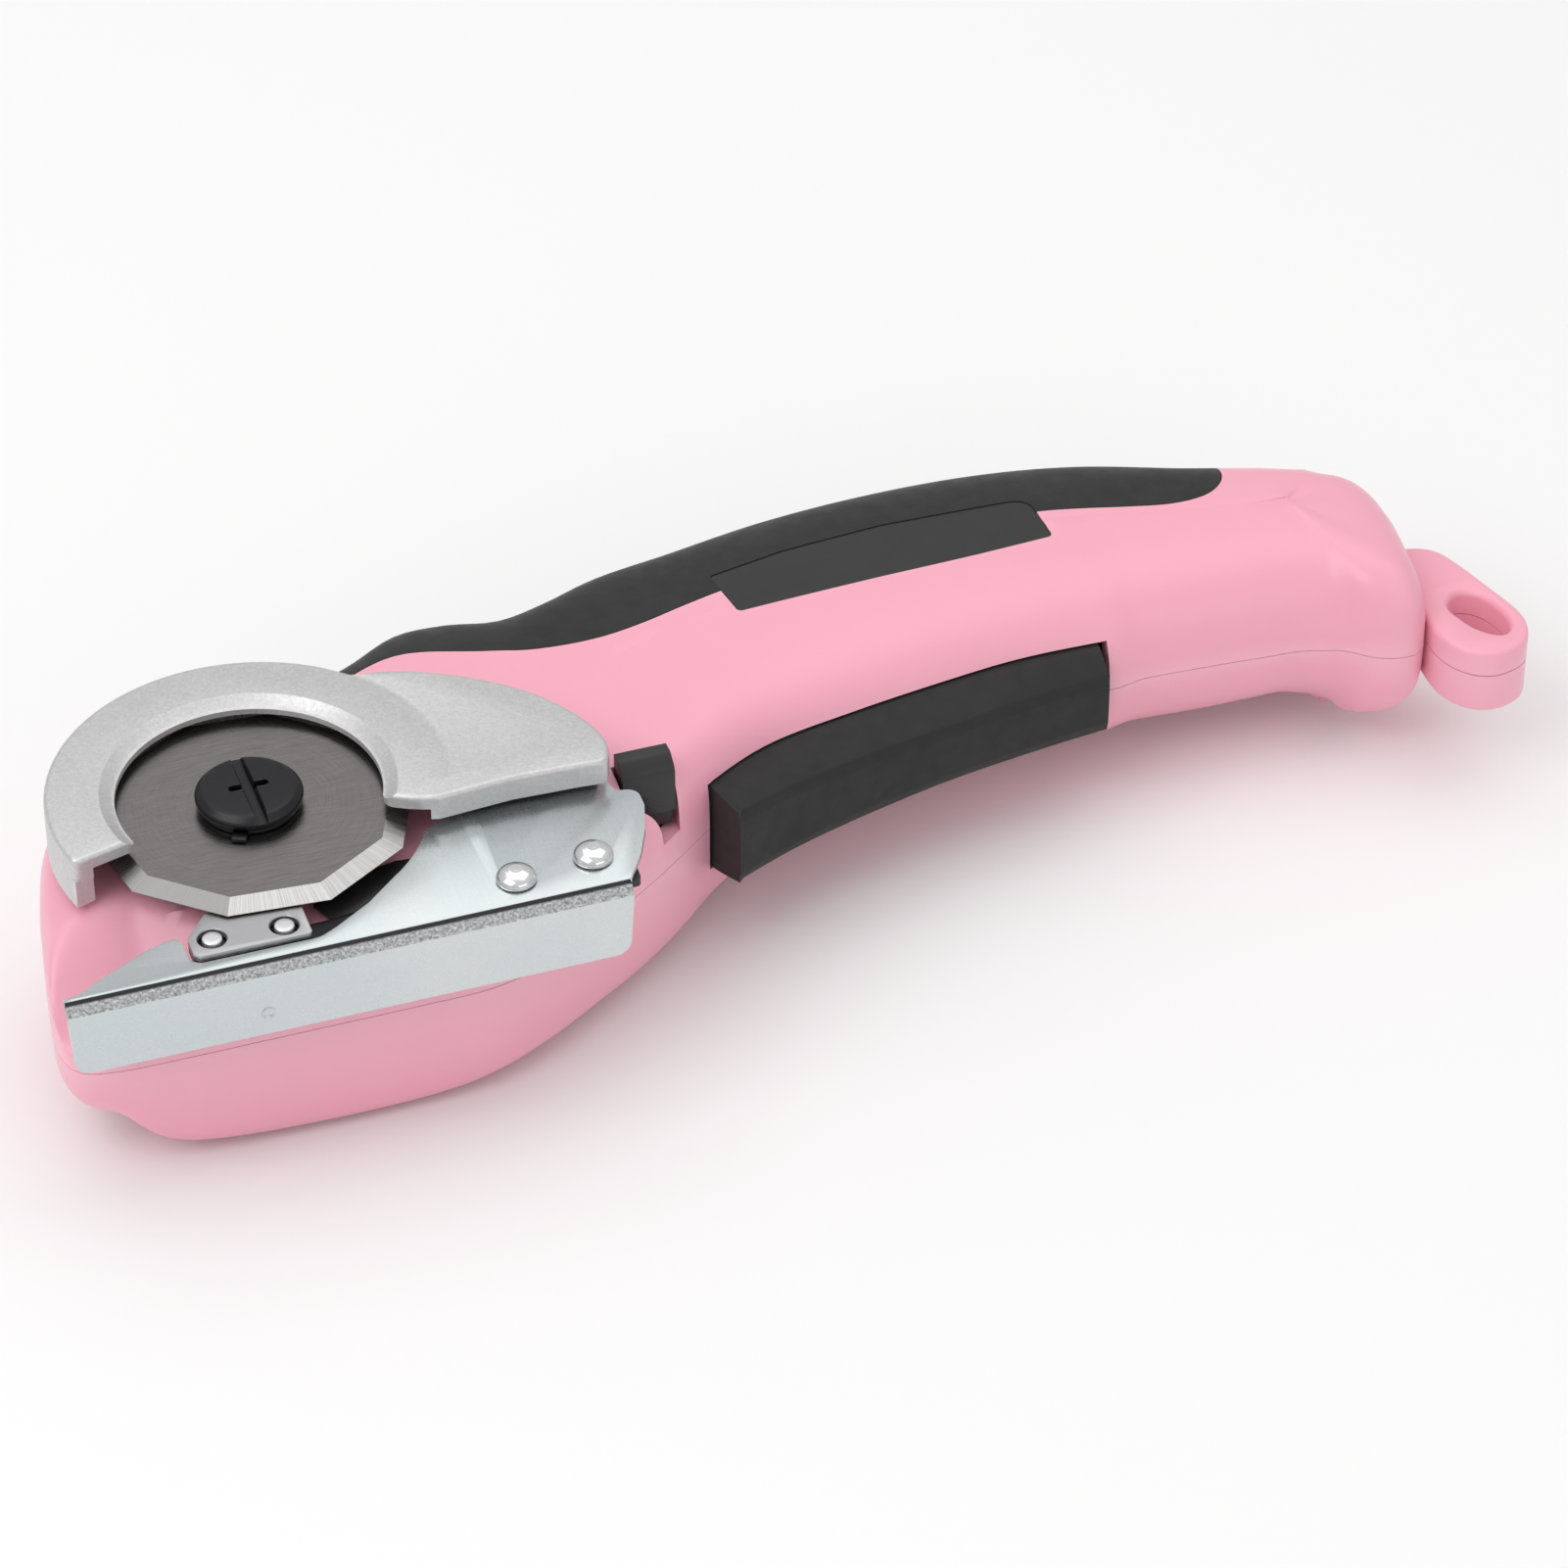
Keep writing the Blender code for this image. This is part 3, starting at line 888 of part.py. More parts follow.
lock = layers("lock_button", [(-3.5, -1.2), (-3.5, -10.4), (-7.8, -10.4), (-7.8, -3.3), (-7.4, -2.5), (-5.9, -1.3), (-5.5, -1.1)], [(LOCK_X[0], 0), (LOCK_X[1], 0)], DARK, (57.5, -3.5, -6.0), lock_place)
join(lock, block("neck", (LOCK_X[0] - 1.6, -7.3, -13.0), (LOCK_X[1] - 0.3, -3.6, -9.9)))
join(lock, block("plate", (LOCK_X[0] - 1.6, -5.0, -12.9), (LOCK_X[1] - 0.6, 10.0, -11.3)))
join(lock, block("leg", (LOCK_X[0] + 0.6, 8.6, -12.4), (LOCK_X[1] - 0.9, 9.9, -7.2)))
shade(lock, 25)
join(upper, block("lock_rib", (LOCK_X[0] + 1.2, 0.9, -10.8), (LOCK_X[1] - 1.2, 2.1, -4.5)))
coil("lock_spring", (57.5, 2.35, -9.1), (57.5, 8.35, -9.1), 1.4, 0.28, 5, STEEL)

# ---- power ----------------------------------------------------------------------------------------------------------------
cd = (math.cos(math.radians(CELL_TURN)), math.sin(math.radians(CELL_TURN)), 0.0)
cell0 = (CELL_A[0], CELL_A[1], PART_Z)
cput = frame_at(cell0, cd)
shade(turned("battery_cell", [(0, -0.9), (2.8, -0.9), (2.8, 0), (CELL_R - 0.6, 0), (CELL_R, 0.6), (CELL_R, CELL_LEN - 0.6), (CELL_R - 0.6, CELL_LEN), (0, CELL_LEN)], 20, WRAP, cell0, cd))
block("control_board", (-25.0, -3.6, PART_Z - 8.0), (-3.6, -2.4, PART_Z + 8.0), BOARD, None, port_place)
socket = block("charging_socket", (-7.4, -1.65, PART_Z - 4.5), (-0.2, 1.65, PART_Z + 4.5), STEEL, None, port_place)
cut(socket, block("inside", (-6.4, -1.15, PART_Z - 4.0), (2.0, 1.15, PART_Z + 4.0), None, None, port_place))
block("socket_tongue", (-6.1, -0.35, PART_Z - 3.3), (-1.2, 0.35, PART_Z + 3.3), DARK, None, port_place)

# leads, laid along the inside of the handle
tube("lead_cell_board", smooth_path([cput((6.0, 0, CELL_LEN + 0.6)), cput((3.0, -3.0, CELL_LEN + 3.0)), tuple(port_place((-18.0, 1.2, -14.5))), tuple(port_place((-17.0, -2.25, -14.0)))], 9), 0.75, 5, RED)
tube("lead_board_switch", smooth_path([(166.0, 20.5, -24.5), (160.0, 17.0, -26.0), (148.0, 19.4, -26.4), (131.0, 21.2, -25.4), (118.0, 20.6, -27.0), (108.0, 20.0, -27.0), (101.0, 20.0, -22.0), (99.6, 19.0, -20.5)], 14), 0.75, 5, BLACK)
tube("lead_switch_motor", smooth_path([(81.0, 19.0, -19.0), (76.0, 20.0, -18.0), (66.0, 24.0, -20.0), (56.0, 30.0, -21.0), tuple(mput((7.5, 0.0, MOTOR_LEN + 3.4))), tuple(mput((7.5, 0.0, MOTOR_LEN - 0.5)))], 12), 0.75, 5, BLACK)
tube("lead_cell_motor", smooth_path([cput((0, 0, -1.3)), cput((0, 0, -4.0)), (86.0, 33.0, -17.0), (70.0, 32.0, -18.0), (58.0, 22.0, -20.0), tuple(mput((-7.5, 0.0, MOTOR_LEN + 3.4))), tuple(mput((-7.5, 0.0, MOTOR_LEN - 0.5)))], 13), 0.75, 5, RED)
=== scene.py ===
import json
import math

import bmesh
import bpy
from mathutils import Matrix, Vector

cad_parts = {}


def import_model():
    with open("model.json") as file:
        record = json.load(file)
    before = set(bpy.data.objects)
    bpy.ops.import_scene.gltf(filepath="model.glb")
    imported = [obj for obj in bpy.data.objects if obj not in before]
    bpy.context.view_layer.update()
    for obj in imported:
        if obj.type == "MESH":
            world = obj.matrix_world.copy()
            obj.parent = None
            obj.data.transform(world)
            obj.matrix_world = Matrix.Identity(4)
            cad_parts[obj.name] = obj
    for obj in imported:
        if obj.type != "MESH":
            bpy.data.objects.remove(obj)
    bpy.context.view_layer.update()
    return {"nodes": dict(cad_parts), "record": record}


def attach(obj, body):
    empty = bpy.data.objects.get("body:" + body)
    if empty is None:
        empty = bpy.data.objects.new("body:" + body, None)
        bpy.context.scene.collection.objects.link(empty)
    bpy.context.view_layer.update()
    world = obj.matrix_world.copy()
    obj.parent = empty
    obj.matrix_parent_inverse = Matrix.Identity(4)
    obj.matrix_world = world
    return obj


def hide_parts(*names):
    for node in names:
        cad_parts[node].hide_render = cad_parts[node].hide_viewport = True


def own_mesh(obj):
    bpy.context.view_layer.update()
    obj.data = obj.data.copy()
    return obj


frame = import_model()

NODES = frame["nodes"]

# Looks of the cordless rotary cutter. Lengths below are millimetres from the blade's centre, in the plane of its cutting
# edge: X along the sole to the tail, Y to the spine, Z out of the cutting side. world() turns them into the frame's metres.
FLOOR_Z = -39.8017         # lowest face of the back shell
CENTRE_X, CENTRE_Y = 83.0202, 12.3763   # middle of the tool over the floor
GAP = 0.3                 # between pieces that touch

PART_Z = -19.0            # parting plane of the two shells
WALL = 2.4                # shell wall
SHELL_GAP = 0.15          # each shell stops this far short of the parting plane

BLADE_R = 24.0            # across the points of the decagon, as a radius
BLADE_FLAT_R = 20.9       # where the ground bevel starts
BLADE_T = 1.0
BLADE_SIDES = 10
BLADE_TURN = -148.64      # direction of one point of the blade, degrees
BLADE_BORE_R = 4.3

GUARD_R, GUARD_IN_R = 29.2, 19.1
GUARD_TOP, GUARD_UNDER, GUARD_LOW = 4.5, 2.3, -3.7
GUARD_POCKET_R = 26.3

FOOT_T = 1.0
FOOT_TOP = -1.0
SOLE_Y = -33.2            # outer face of the sole
SOLE_LOW = -13.3
SOLE_X = (-35.0, 47.0)

SPINDLE_R = 4.0
FLANGE_R = 9.0
SPINDLE_LOW = -34.0
SCREW_R = 7.8

WHEEL_TEETH = 22
MODULE = 1.0
WHEEL_R = WHEEL_TEETH * MODULE / 2
WHEEL_FACE = 5.0
WORM_R = 4.0
DRIVE_Z = -21.5           # height of the worm's axis
DRIVE_TURN = 10.0         # the motor's axis, degrees from X
DRIVE_OFF = WHEEL_R + WORM_R + 0.2   # worm axis to spindle axis

MOTOR_R, MOTOR_LEN = 12.0, 31.0
MOTOR_AT = 20.6           # from the worm's middle to the motor's front face
SHAFT_R = 1.15

CELL_R, CELL_LEN = 9.15, 65.0
CELL_A = (98.5, 32.3)
CELL_TURN = -3.8

TRIGGER_PIN = (131.0, 16.2)
TRIGGER_HALF = 7.6
TRIGGER_ARC = 65.5        # from the pin to the trigger's front face

# ---- the housing's outline on the parting plane, anticlockwise from the nose: x, y, squareness of the section above and
# ---- below the plane, height above it, depth below it
OUTLINE = [
    (-28.6, -27.6, 5.0, 2.8, 15.0, 19.8), (-18.0, -28.0, 6.0, 6.5, 15.0, 20.6), (0.0, -28.0, 7.0, 9.5, 15.0, 20.8),
    (17.0, -28.0, 7.0, 9.5, 15.0, 20.8), (28.0, -27.6, 5.5, 7.0, 15.0, 20.6), (37.0, -24.6, 5.0, 6.0, 15.2, 20.2),
    (46.0, -19.4, 4.5, 5.8, 15.5, 20.0), (55.0, -13.6, 4.2, 5.8, 16.0, 19.8), (63.0, -7.6, 4.0, 5.5, 16.5, 19.4),
    (70.0, -2.4, 3.4, 4.5, 17.0, 18.8), (80.0, 2.0, 2.7, 3.0, 17.4, 18.2), (94.0, 4.6, 2.4, 2.4, 17.7, 17.7),
    (110.0, 7.0, 2.3, 2.3, 17.7, 17.7), (125.0, 8.6, 2.2, 2.2, 17.7, 17.7), (140.0, 9.1, 2.2, 2.2, 17.7, 17.6),
    (154.0, 8.5, 2.2, 2.2, 17.5, 17.2), (162.0, 7.9, 2.2, 2.2, 17.2, 16.2), (168.0, 7.4, 2.2, 2.2, 17.0, 16.0),
    (174.0, 4.4, 2.3, 2.4, 17.2, 17.4), (179.0, 1.6, 2.6, 2.8, 17.2, 17.8), (184.0, 1.0, 3.0, 3.0, 16.8, 17.4),
    (187.0, 5.0, 3.2, 3.2, 16.2, 17.2), (188.4, 13.0, 3.2, 3.2, 16.0, 17.2), (189.4, 21.0, 3.2, 3.2, 15.8, 17.2),
    (190.0, 28.0, 3.2, 3.2, 15.8, 17.2), (189.2, 33.0, 3.0, 3.0, 15.8, 17.2), (186.0, 36.6, 2.8, 2.8, 16.0, 17.4),
    (180.0, 39.4, 2.5, 2.5, 16.4, 17.6), (171.0, 43.4, 2.3, 2.3, 17.0, 17.7), (160.0, 48.0, 2.2, 2.2, 17.4, 17.7),
    (145.0, 54.0, 2.2, 2.2, 17.7, 17.7), (129.0, 57.2, 2.2, 2.2, 17.7, 17.7), (112.0, 57.9, 2.2, 2.2, 17.7, 17.7),
    (95.0, 56.2, 2.3, 2.3, 17.7, 17.7), (78.0, 52.4, 2.5, 2.5, 17.4, 17.8), (66.0, 49.2, 3.0, 3.0, 16.8, 18.4),
    (57.0, 45.2, 3.6, 3.6, 16.0, 19.0), (49.0, 42.8, 4.2, 4.0, 15.4, 19.4), (41.0, 44.8, 4.5, 4.2, 15.0, 19.6),
    (33.0, 44.0, 5.0, 4.5, 15.0, 19.8), (24.0, 38.8, 5.0, 4.5, 15.0, 20.0), (13.0, 33.6, 5.5, 4.5, 15.0, 20.0),
    (0.0, 30.6, 6.0, 4.5, 15.0, 20.0), (-12.0, 28.0, 6.0, 4.5, 15.0, 19.8), (-21.5, 21.8, 6.0, 4.5, 15.0, 19.6),
    (-28.0, 12.6, 6.0, 4.5, 15.0, 19.4), (-31.4, 2.0, 6.0, 4.0, 15.0, 19.2), (-33.6, -10.0, 5.5, 3.4, 15.0, 19.0),
    (-34.8, -20.0, 5.0, 2.8, 15.0, 19.0), (-33.4, -25.6, 5.0, 2.5, 15.0, 19.2),
]
RIDGE_X = (2.0, 172.0)    # the crown of the housing runs between these
NOSE_EDGE = [(-60.0, -7.5), (-20.0, -7.5), (-11.0, -16.5), (0.0, -28.5), (3.0, -60.0)]   # where the nose starts to fall away
NOSE_SLOPE = 0.75

SCREW_SPOTS = [(-26.0, -16.0), (3.0, 26.6), (45.0, -9.5), (62.0, 38.5), (127.0, 48.0), (176.0, 12.0)]


def world(p):
    return Vector(((p[0] - CENTRE_X) / 1000, (p[1] - CENTRE_Y) / 1000, (p[2] - FLOOR_Z) / 1000))


def local(v):
    return Vector((v[0] * 1000 + CENTRE_X, v[1] * 1000 + CENTRE_Y, v[2] * 1000 + FLOOR_Z))


# ---- mesh helpers ---------------------------------------------------------------------------------------------------
def solid(name, points, faces, mat=None, pivot=None):
    mesh = bpy.data.meshes.new(name)
    mesh.from_pydata([world(p) for p in points], [], faces)
    bm = bmesh.new()
    bm.from_mesh(mesh)
    bmesh.ops.remove_doubles(bm, verts=bm.verts, dist=1e-7)
    bmesh.ops.recalc_face_normals(bm, faces=bm.faces)
    bm.to_mesh(mesh)
    bm.free()
    obj = bpy.data.objects.new(name, mesh)
    bpy.context.scene.collection.objects.link(obj)
    if mat:
        mesh.materials.append(mat)
    return obj


def shade(obj, angle=32):
    obj.data.shade_smooth()
    obj.data.set_sharp_from_angle(angle=math.radians(angle))
    return obj


def settle(obj):
    """applies an object's modifiers"""
    bpy.context.view_layer.update()
    mesh = bpy.data.meshes.new_from_object(obj.evaluated_get(bpy.context.evaluated_depsgraph_get()))
    obj.modifiers.clear()
    old = obj.data
    obj.data = mesh
    bpy.data.meshes.remove(old)
    return obj


def combine(obj, tool, how):
    mod = obj.modifiers.new(how, "BOOLEAN")
    mod.operation = how
    mod.solver = "EXACT"
    mod.object = tool
    settle(obj)
    bm = bmesh.new()
    bm.from_mesh(obj.data)
    bmesh.ops.remove_doubles(bm, verts=bm.verts, dist=2e-6)
    bmesh.ops.dissolve_degenerate(bm, edges=bm.edges, dist=2e-6)
    bm.to_mesh(obj.data)
    bm.free()
    gone = tool.data
    bpy.data.objects.remove(tool)
    bpy.data.meshes.remove(gone)
    return obj


def cut(obj, *tools):
    for t in tools:
        combine(obj, t, "DIFFERENCE")
    return obj


def join(obj, *tools):
    for t in tools:
        combine(obj, t, "UNION")
    return obj


def together(name, objs):
    """several closed meshes as one object, with no boolean"""
    bm = bmesh.new()
    for o in objs:
        bm.from_mesh(o.data)
        gone = o.data
        bpy.data.objects.remove(o)
        bpy.data.meshes.remove(gone)
    mesh = bpy.data.meshes.new(name)
    bm.to_mesh(mesh)
    bm.free()
    obj = bpy.data.objects.new(name, mesh)
    bpy.context.scene.collection.objects.link(obj)
    return obj


def round_edges(obj, width, segments=2, angle=30):
    """a small radius on every sharp edge"""
    bm = bmesh.new()
    bm.from_mesh(obj.data)
    bmesh.ops.remove_doubles(bm, verts=bm.verts, dist=1e-6)
    bmesh.ops.dissolve_limit(bm, angle_limit=math.radians(0.6), verts=bm.verts, edges=bm.edges)
    bm.to_mesh(obj.data)
    bm.free()
    mod = obj.modifiers.new("radius", "BEVEL")
    mod.width = width / 1000
    mod.segments = segments
    mod.limit_method = "ANGLE"
    mod.angle_limit = math.radians(angle)
    mod.harden_normals = False
    settle(obj)
    return shade(obj, 40)


def like(node, width=0.12, segments=2, angle=30):
    """a copy of a CAD node's own shape with its sharp edges rounded"""
    src = NODES[node]
    mesh = src.data.copy()
    obj = bpy.data.objects.new(node + "_finished", mesh)
    bpy.context.scene.collection.objects.link(obj)
    mesh.materials.clear()
    bm = bmesh.new()
    bm.from_mesh(mesh)
    bmesh.ops.remove_doubles(bm, verts=bm.verts, dist=1e-6)
    bm.to_mesh(mesh)
    bm.free()
    return round_edges(obj, width, segments, angle)


def frame_at(origin, along):
    """a placement whose Z runs along a direction; returns a function from local to design points"""
    z = Vector(along).normalized()
    x = Vector((0, 0, 1)) if abs(z.z) < 0.9 else Vector((1, 0, 0))
    x = (x - z * x.dot(z)).normalized()
    y = z.cross(x)
    o = Vector(origin)
    return lambda p: o + x * p[0] + y * p[1] + z * p[2]


def turned(name, profile, sides, mat=None, origin=(0, 0, 0), along=(0, 0, 1), pivot=None, turn=0.0):
    """a profile of (radius, height) points turned about an axis; a closed profile makes a ring, one that starts and
    ends on the axis makes a solid"""
    put = frame_at(origin, along)
    closed = profile[0][0] > 0
    pts, rows = [], []
    for r, h in profile:
        if r <= 1e-9:
            rows.append([len(pts)])
            pts.append(put((0, 0, h)))
        else:
            row = []
            for i in range(sides):
                a = 2 * math.pi * i / sides + turn
                row.append(len(pts))
                pts.append(put((r * math.cos(a), r * math.sin(a), h)))
            rows.append(row)
    faces = []
    pairs = list(zip(rows[:-1], rows[1:])) + ([(rows[-1], rows[0])] if closed else [])
    for a, b in pairs:
        for i in range(sides):
            j = (i + 1) % sides
            if len(a) == 1 and len(b) == 1:
                continue
            if len(a) == 1:
                faces.append((a[0], b[i], b[j]))
            elif len(b) == 1:
                faces.append((a[i], b[0], a[j]))
            else:
                faces.append((a[i], b[i], b[j], a[j]))
    return solid(name, pts, faces, mat, pivot)


def rod(name, r, a, b, sides=16, mat=None, pivot=None, turn=0.0):
    a, b = Vector(a), Vector(b)
    n = (b - a).length
    return turned(name, [(0, 0), (r, 0), (r, n), (0, n)], sides, mat, a, b - a, pivot, turn)


def inset_loop(loop, d):
    """a closed outline moved inwards, corner by corner; anticlockwise outlines shrink with a positive d"""
    out, n = [], len(loop)
    for i in range(n):
        a, b, c = Vector(loop[i - 1]), Vector(loop[i]), Vector(loop[(i + 1) % n])
        u, v = (b - a).normalized(), (c - b).normalized()
        nu, nv = Vector((-u.y, u.x)), Vector((-v.y, v.x))
        m = (nu + nv) / max(0.35, 1 + nu.dot(nv))
        out.append((b.x + m.x * d, b.y + m.y * d))
    return out


def layers(name, loop, levels, mat=None, pivot=None, place=None):
    """an outline stacked at several heights, each level (height, inset)"""
    put = place or (lambda p: p)
    pts, faces, n = [], [], len(loop)
    for h, d in levels:
        for x, y in (inset_loop(loop, d) if d else loop):
            pts.append(put((x, y, h)))
    for k in range(len(levels) - 1):
        for i in range(n):
            j = (i + 1) % n
            faces.append((k * n + i, k * n + j, k * n + n + j, k * n + n + i))
    faces.append(tuple(reversed(range(n))))
    faces.append(tuple((len(levels) - 1) * n + i for i in range(n)))
    return solid(name, pts, faces, mat, pivot)


def arc(cx, cy, r, a0, a1, n):
    return [(cx + r * math.cos(math.radians(a0 + (a1 - a0) * i / n)), cy + r * math.sin(math.radians(a0 + (a1 - a0) * i / n))) for i in range(n + 1)]


def between(table, x):
    """straight interpolation in a table of (x, value)"""
    if x <= table[0][0]:
        return table[0][1]
    for (x0, y0), (x1, y1) in zip(table, table[1:]):
        if x <= x1:
            return y0 + (y1 - y0) * (x - x0) / (x1 - x0)
    return table[-1][1]


def smooth_loop(rows, count, fine=24):
    """a closed smooth curve through rows, with count points evenly spaced along it"""
    m, line = len(rows), []
    for i in range(m):
        p0, p1, p2, p3 = rows[i - 1], rows[i], rows[(i + 1) % m], rows[(i + 2) % m]
        for k in range(fine):
            t = k / fine
            line.append([0.5 * (2 * b + (c - a) * t + (2 * a - 5 * b + 4 * c - d) * t * t + (3 * b - a - 3 * c + d) * t ** 3)
                         for a, b, c, d in zip(p0, p1, p2, p3)])
    line.append(line[0])
    far = [0.0]
    for a, b in zip(line, line[1:]):
        far.append(far[-1] + math.hypot(b[0] - a[0], b[1] - a[1]))
    out, k = [], 0
    for i in range(count):
        s = far[-1] * i / count
        while far[k + 1] < s:
            k += 1
        t = (s - far[k]) / (far[k + 1] - far[k])
        out.append([a + (b - a) * t for a, b in zip(line[k], line[k + 1])])
    return out


def smooth_path(points, count):
    """count points on a smooth open curve through points"""
    pts = [Vector(p) for p in points]
    ext = [2 * pts[0] - pts[1]] + pts + [2 * pts[-1] - pts[-2]]
    out = []
    for i in range(count):
        s = (len(pts) - 1) * i / (count - 1)
        k = min(int(s), len(pts) - 2)
        t = s - k
        a, b, c, d = ext[k:k + 4]
        out.append(0.5 * (2 * b + (c - a) * t + (2 * a - 5 * b + 4 * c - d) * t * t + (3 * b - a - 3 * c + d) * t ** 3))
    return out


def tube(name, path, r, sides, mat=None):
    """a round tube along a path, with flat ends"""
    path = [Vector(p) for p in path]
    ref = None
    pts, faces = [], []
    for i, p in enumerate(path):
        t = (path[min(i + 1, len(path) - 1)] - path[max(i - 1, 0)]).normalized()
        if ref is None:
            ref = Vector((0, 0, 1)) if abs(t.z) < 0.9 else Vector((1, 0, 0))
        ref = (ref - t * ref.dot(t)).normalized()
        other = t.cross(ref)
        for k in range(sides):
            a = 2 * math.pi * k / sides
            pts.append(p + ref * (r * math.cos(a)) + other * (r * math.sin(a)))
    for i in range(len(path) - 1):
        for k in range(sides):
            j = (k + 1) % sides
            faces.append((i * sides + k, i * sides + j, (i + 1) * sides + j, (i + 1) * sides + k))
    faces.append(tuple(reversed(range(sides))))
    faces.append(tuple((len(path) - 1) * sides + k for k in range(sides)))
    return solid(name, pts, faces, mat)



def block(name, low, high, mat=None, pivot=None, place=None, bevel=0.0):
    (x0, y0, z0), (x1, y1, z1) = low, high
    loop = [(x0, y0), (x1, y0), (x1, y1), (x0, y1)]
    if bevel:
        b = bevel
        loop = [(x0 + b, y0), (x1 - b, y0), (x1, y0 + b), (x1, y1 - b), (x1 - b, y1), (x0 + b, y1), (x0, y1 - b), (x0, y0 + b)]
    return layers(name, loop, [(z0, 0), (z1, 0)], mat, pivot, place)


# ---- procedural materials --------------------------------------------------------------------------------------------
class Look:
    """a Principled material with a few helpers for its nodes"""

    def __init__(self, name, colour, rough, metal=0.0, **sockets):
        self.m = bpy.data.materials.new(name)
        self.m.use_nodes = True
        self.t = self.m.node_tree
        self.b = self.t.nodes["Principled BSDF"]
        self.b.inputs["Base Color"].default_value = (*colour, 1)
        self.b.inputs["Roughness"].default_value = rough
        self.b.inputs["Metallic"].default_value = metal
        for k, v in sockets.items():
            self.b.inputs[k.replace("_", " ")].default_value = v
        self.coord = self.node("ShaderNodeTexCoord").outputs["Object"]
        self.normal = None

    def node(self, kind, **props):
        n = self.t.nodes.new(kind)
        for k, v in props.items():
            setattr(n, k, v)
        return n

    def link(self, a, b):
        self.t.links.new(a, b)
        return self

    def shift(self, coord, centre):
        n = self.node("ShaderNodeVectorMath", operation="SUBTRACT")
        self.link(coord, n.inputs[0])
        n.inputs[1].default_value = centre
        return n.outputs[0]

    def stretch(self, coord, scale, turn=(0, 0, 0)):
        n = self.node("ShaderNodeMapping")
        self.link(coord, n.inputs["Vector"])
        n.inputs["Scale"].default_value = scale
        n.inputs["Rotation"].default_value = turn
        return n.outputs[0]

    def noise(self, scale, detail=2.0, rough=0.5, coord=None):
        n = self.node("ShaderNodeTexNoise")
        n.inputs["Scale"].default_value = scale
        n.inputs["Detail"].default_value = detail
        n.inputs["Roughness"].default_value = rough
        self.link(coord or self.coord, n.inputs["Vector"])
        return n.outputs["Fac"]

    def cells(self, scale, coord=None):
        n = self.node("ShaderNodeTexVoronoi")
        n.inputs["Scale"].default_value = scale
        self.link(coord or self.coord, n.inputs["Vector"])
        return n.outputs["Color"], n.outputs["Distance"]

    def math(self, op, a, b=None, clamp=False):
        n = self.node("ShaderNodeMath", operation=op, use_clamp=clamp)
        for k, v in ((0, a), (1, b)):
            if v is None:
                continue
            if isinstance(v, (int, float)):
                n.inputs[k].default_value = v
            else:
                self.link(v, n.inputs[k])
        return n.outputs[0]

    def span(self, value, lo, hi, to_lo, to_hi):
        n = self.node("ShaderNodeMapRange")
        self.link(value, n.inputs["Value"])
        for k, v in (("From Min", lo), ("From Max", hi), ("To Min", to_lo), ("To Max", to_hi)):
            n.inputs[k].default_value = v
        return n.outputs[0]

    def blend(self, fac, a, b):
        n = self.node("ShaderNodeMix", data_type="RGBA")
        self.link(fac, n.inputs["Factor"]) if not isinstance(fac, (int, float)) else None
        for k, v in (("A", a), ("B", b)):
            s = [i for i in n.inputs if i.name == k and i.type == "RGBA"][0]
            if isinstance(v, tuple):
                s.default_value = (*v, 1)
            else:
                self.link(v, s)
        return [o for o in n.outputs if o.type == "RGBA"][0]

    def colour(self, out):
        self.link(out, self.b.inputs["Base Color"])
        return self

    def rough(self, out):
        self.link(out, self.b.inputs["Roughness"])
        return self

    def bump(self, height, strength=0.3, distance=0.0001):
        n = self.node("ShaderNodeBump")
        n.inputs["Strength"].default_value = strength
        n.inputs["Distance"].default_value = distance
        self.link(height, n.inputs["Height"])
        if self.normal:
            self.link(self.normal, n.inputs["Normal"])
        self.normal = n.outputs["Normal"]
        self.link(self.normal, self.b.inputs["Normal"])
        return self

    def lighter_edges(self, base, edge_tone, width=0.0003, strength=0.5):
        """a lighter tone along convex edges"""
        g = self.node("ShaderNodeNewGeometry")
        f = self.span(g.outputs["Pointiness"], 0.52, 0.6, 0.0, strength)
        return self.blend(f, base, edge_tone)


def plastic(name, colour, rough, grain=2600, depth=0.00002, vary=0.05, coat=0.0):
    k = Look(name, colour, rough, 0.0, Coat_Weight=coat)
    soft = k.noise(45, 3, 0.5)
    dark = tuple(c * (1 - vary) for c in colour)
    light = tuple(min(1, c * (1 + vary * 0.6)) for c in colour)
    k.colour(k.lighter_edges(k.blend(soft, dark, light), tuple(min(1, c * 1.08 + 0.012) for c in colour)))
    fine = k.noise(grain, 3, 0.6)
    k.rough(k.span(k.noise(220, 3), 0.3, 0.7, rough - 0.05, rough + 0.05))
    k.bump(fine, 0.35, depth)
    return k.m


PINK = (0.890, 0.395, 0.500)
pink = Look("pink_satin", PINK, 0.34, 0.0, Subsurface_Weight=0.05, Subsurface_Scale=0.002, Coat_Weight=0.12)
pink.b.inputs["Subsurface Radius"].default_value = (1.0, 0.4, 0.4)
pink.b.inputs["Coat Roughness"].default_value = 0.22
tone = pink.blend(pink.noise(28, 4, 0.55), tuple(c * 0.965 for c in PINK), tuple(min(1, c * 1.03) for c in PINK))
pink.colour(pink.lighter_edges(tone, (0.95, 0.55, 0.64), strength=0.4))
pink.rough(pink.span(pink.noise(160, 4, 0.6), 0.3, 0.7, 0.30, 0.41))
pink.bump(pink.noise(900, 2, 0.5), 0.10, 0.00005)
pink.bump(pink.noise(3200, 2, 0.6), 0.30, 0.000016)

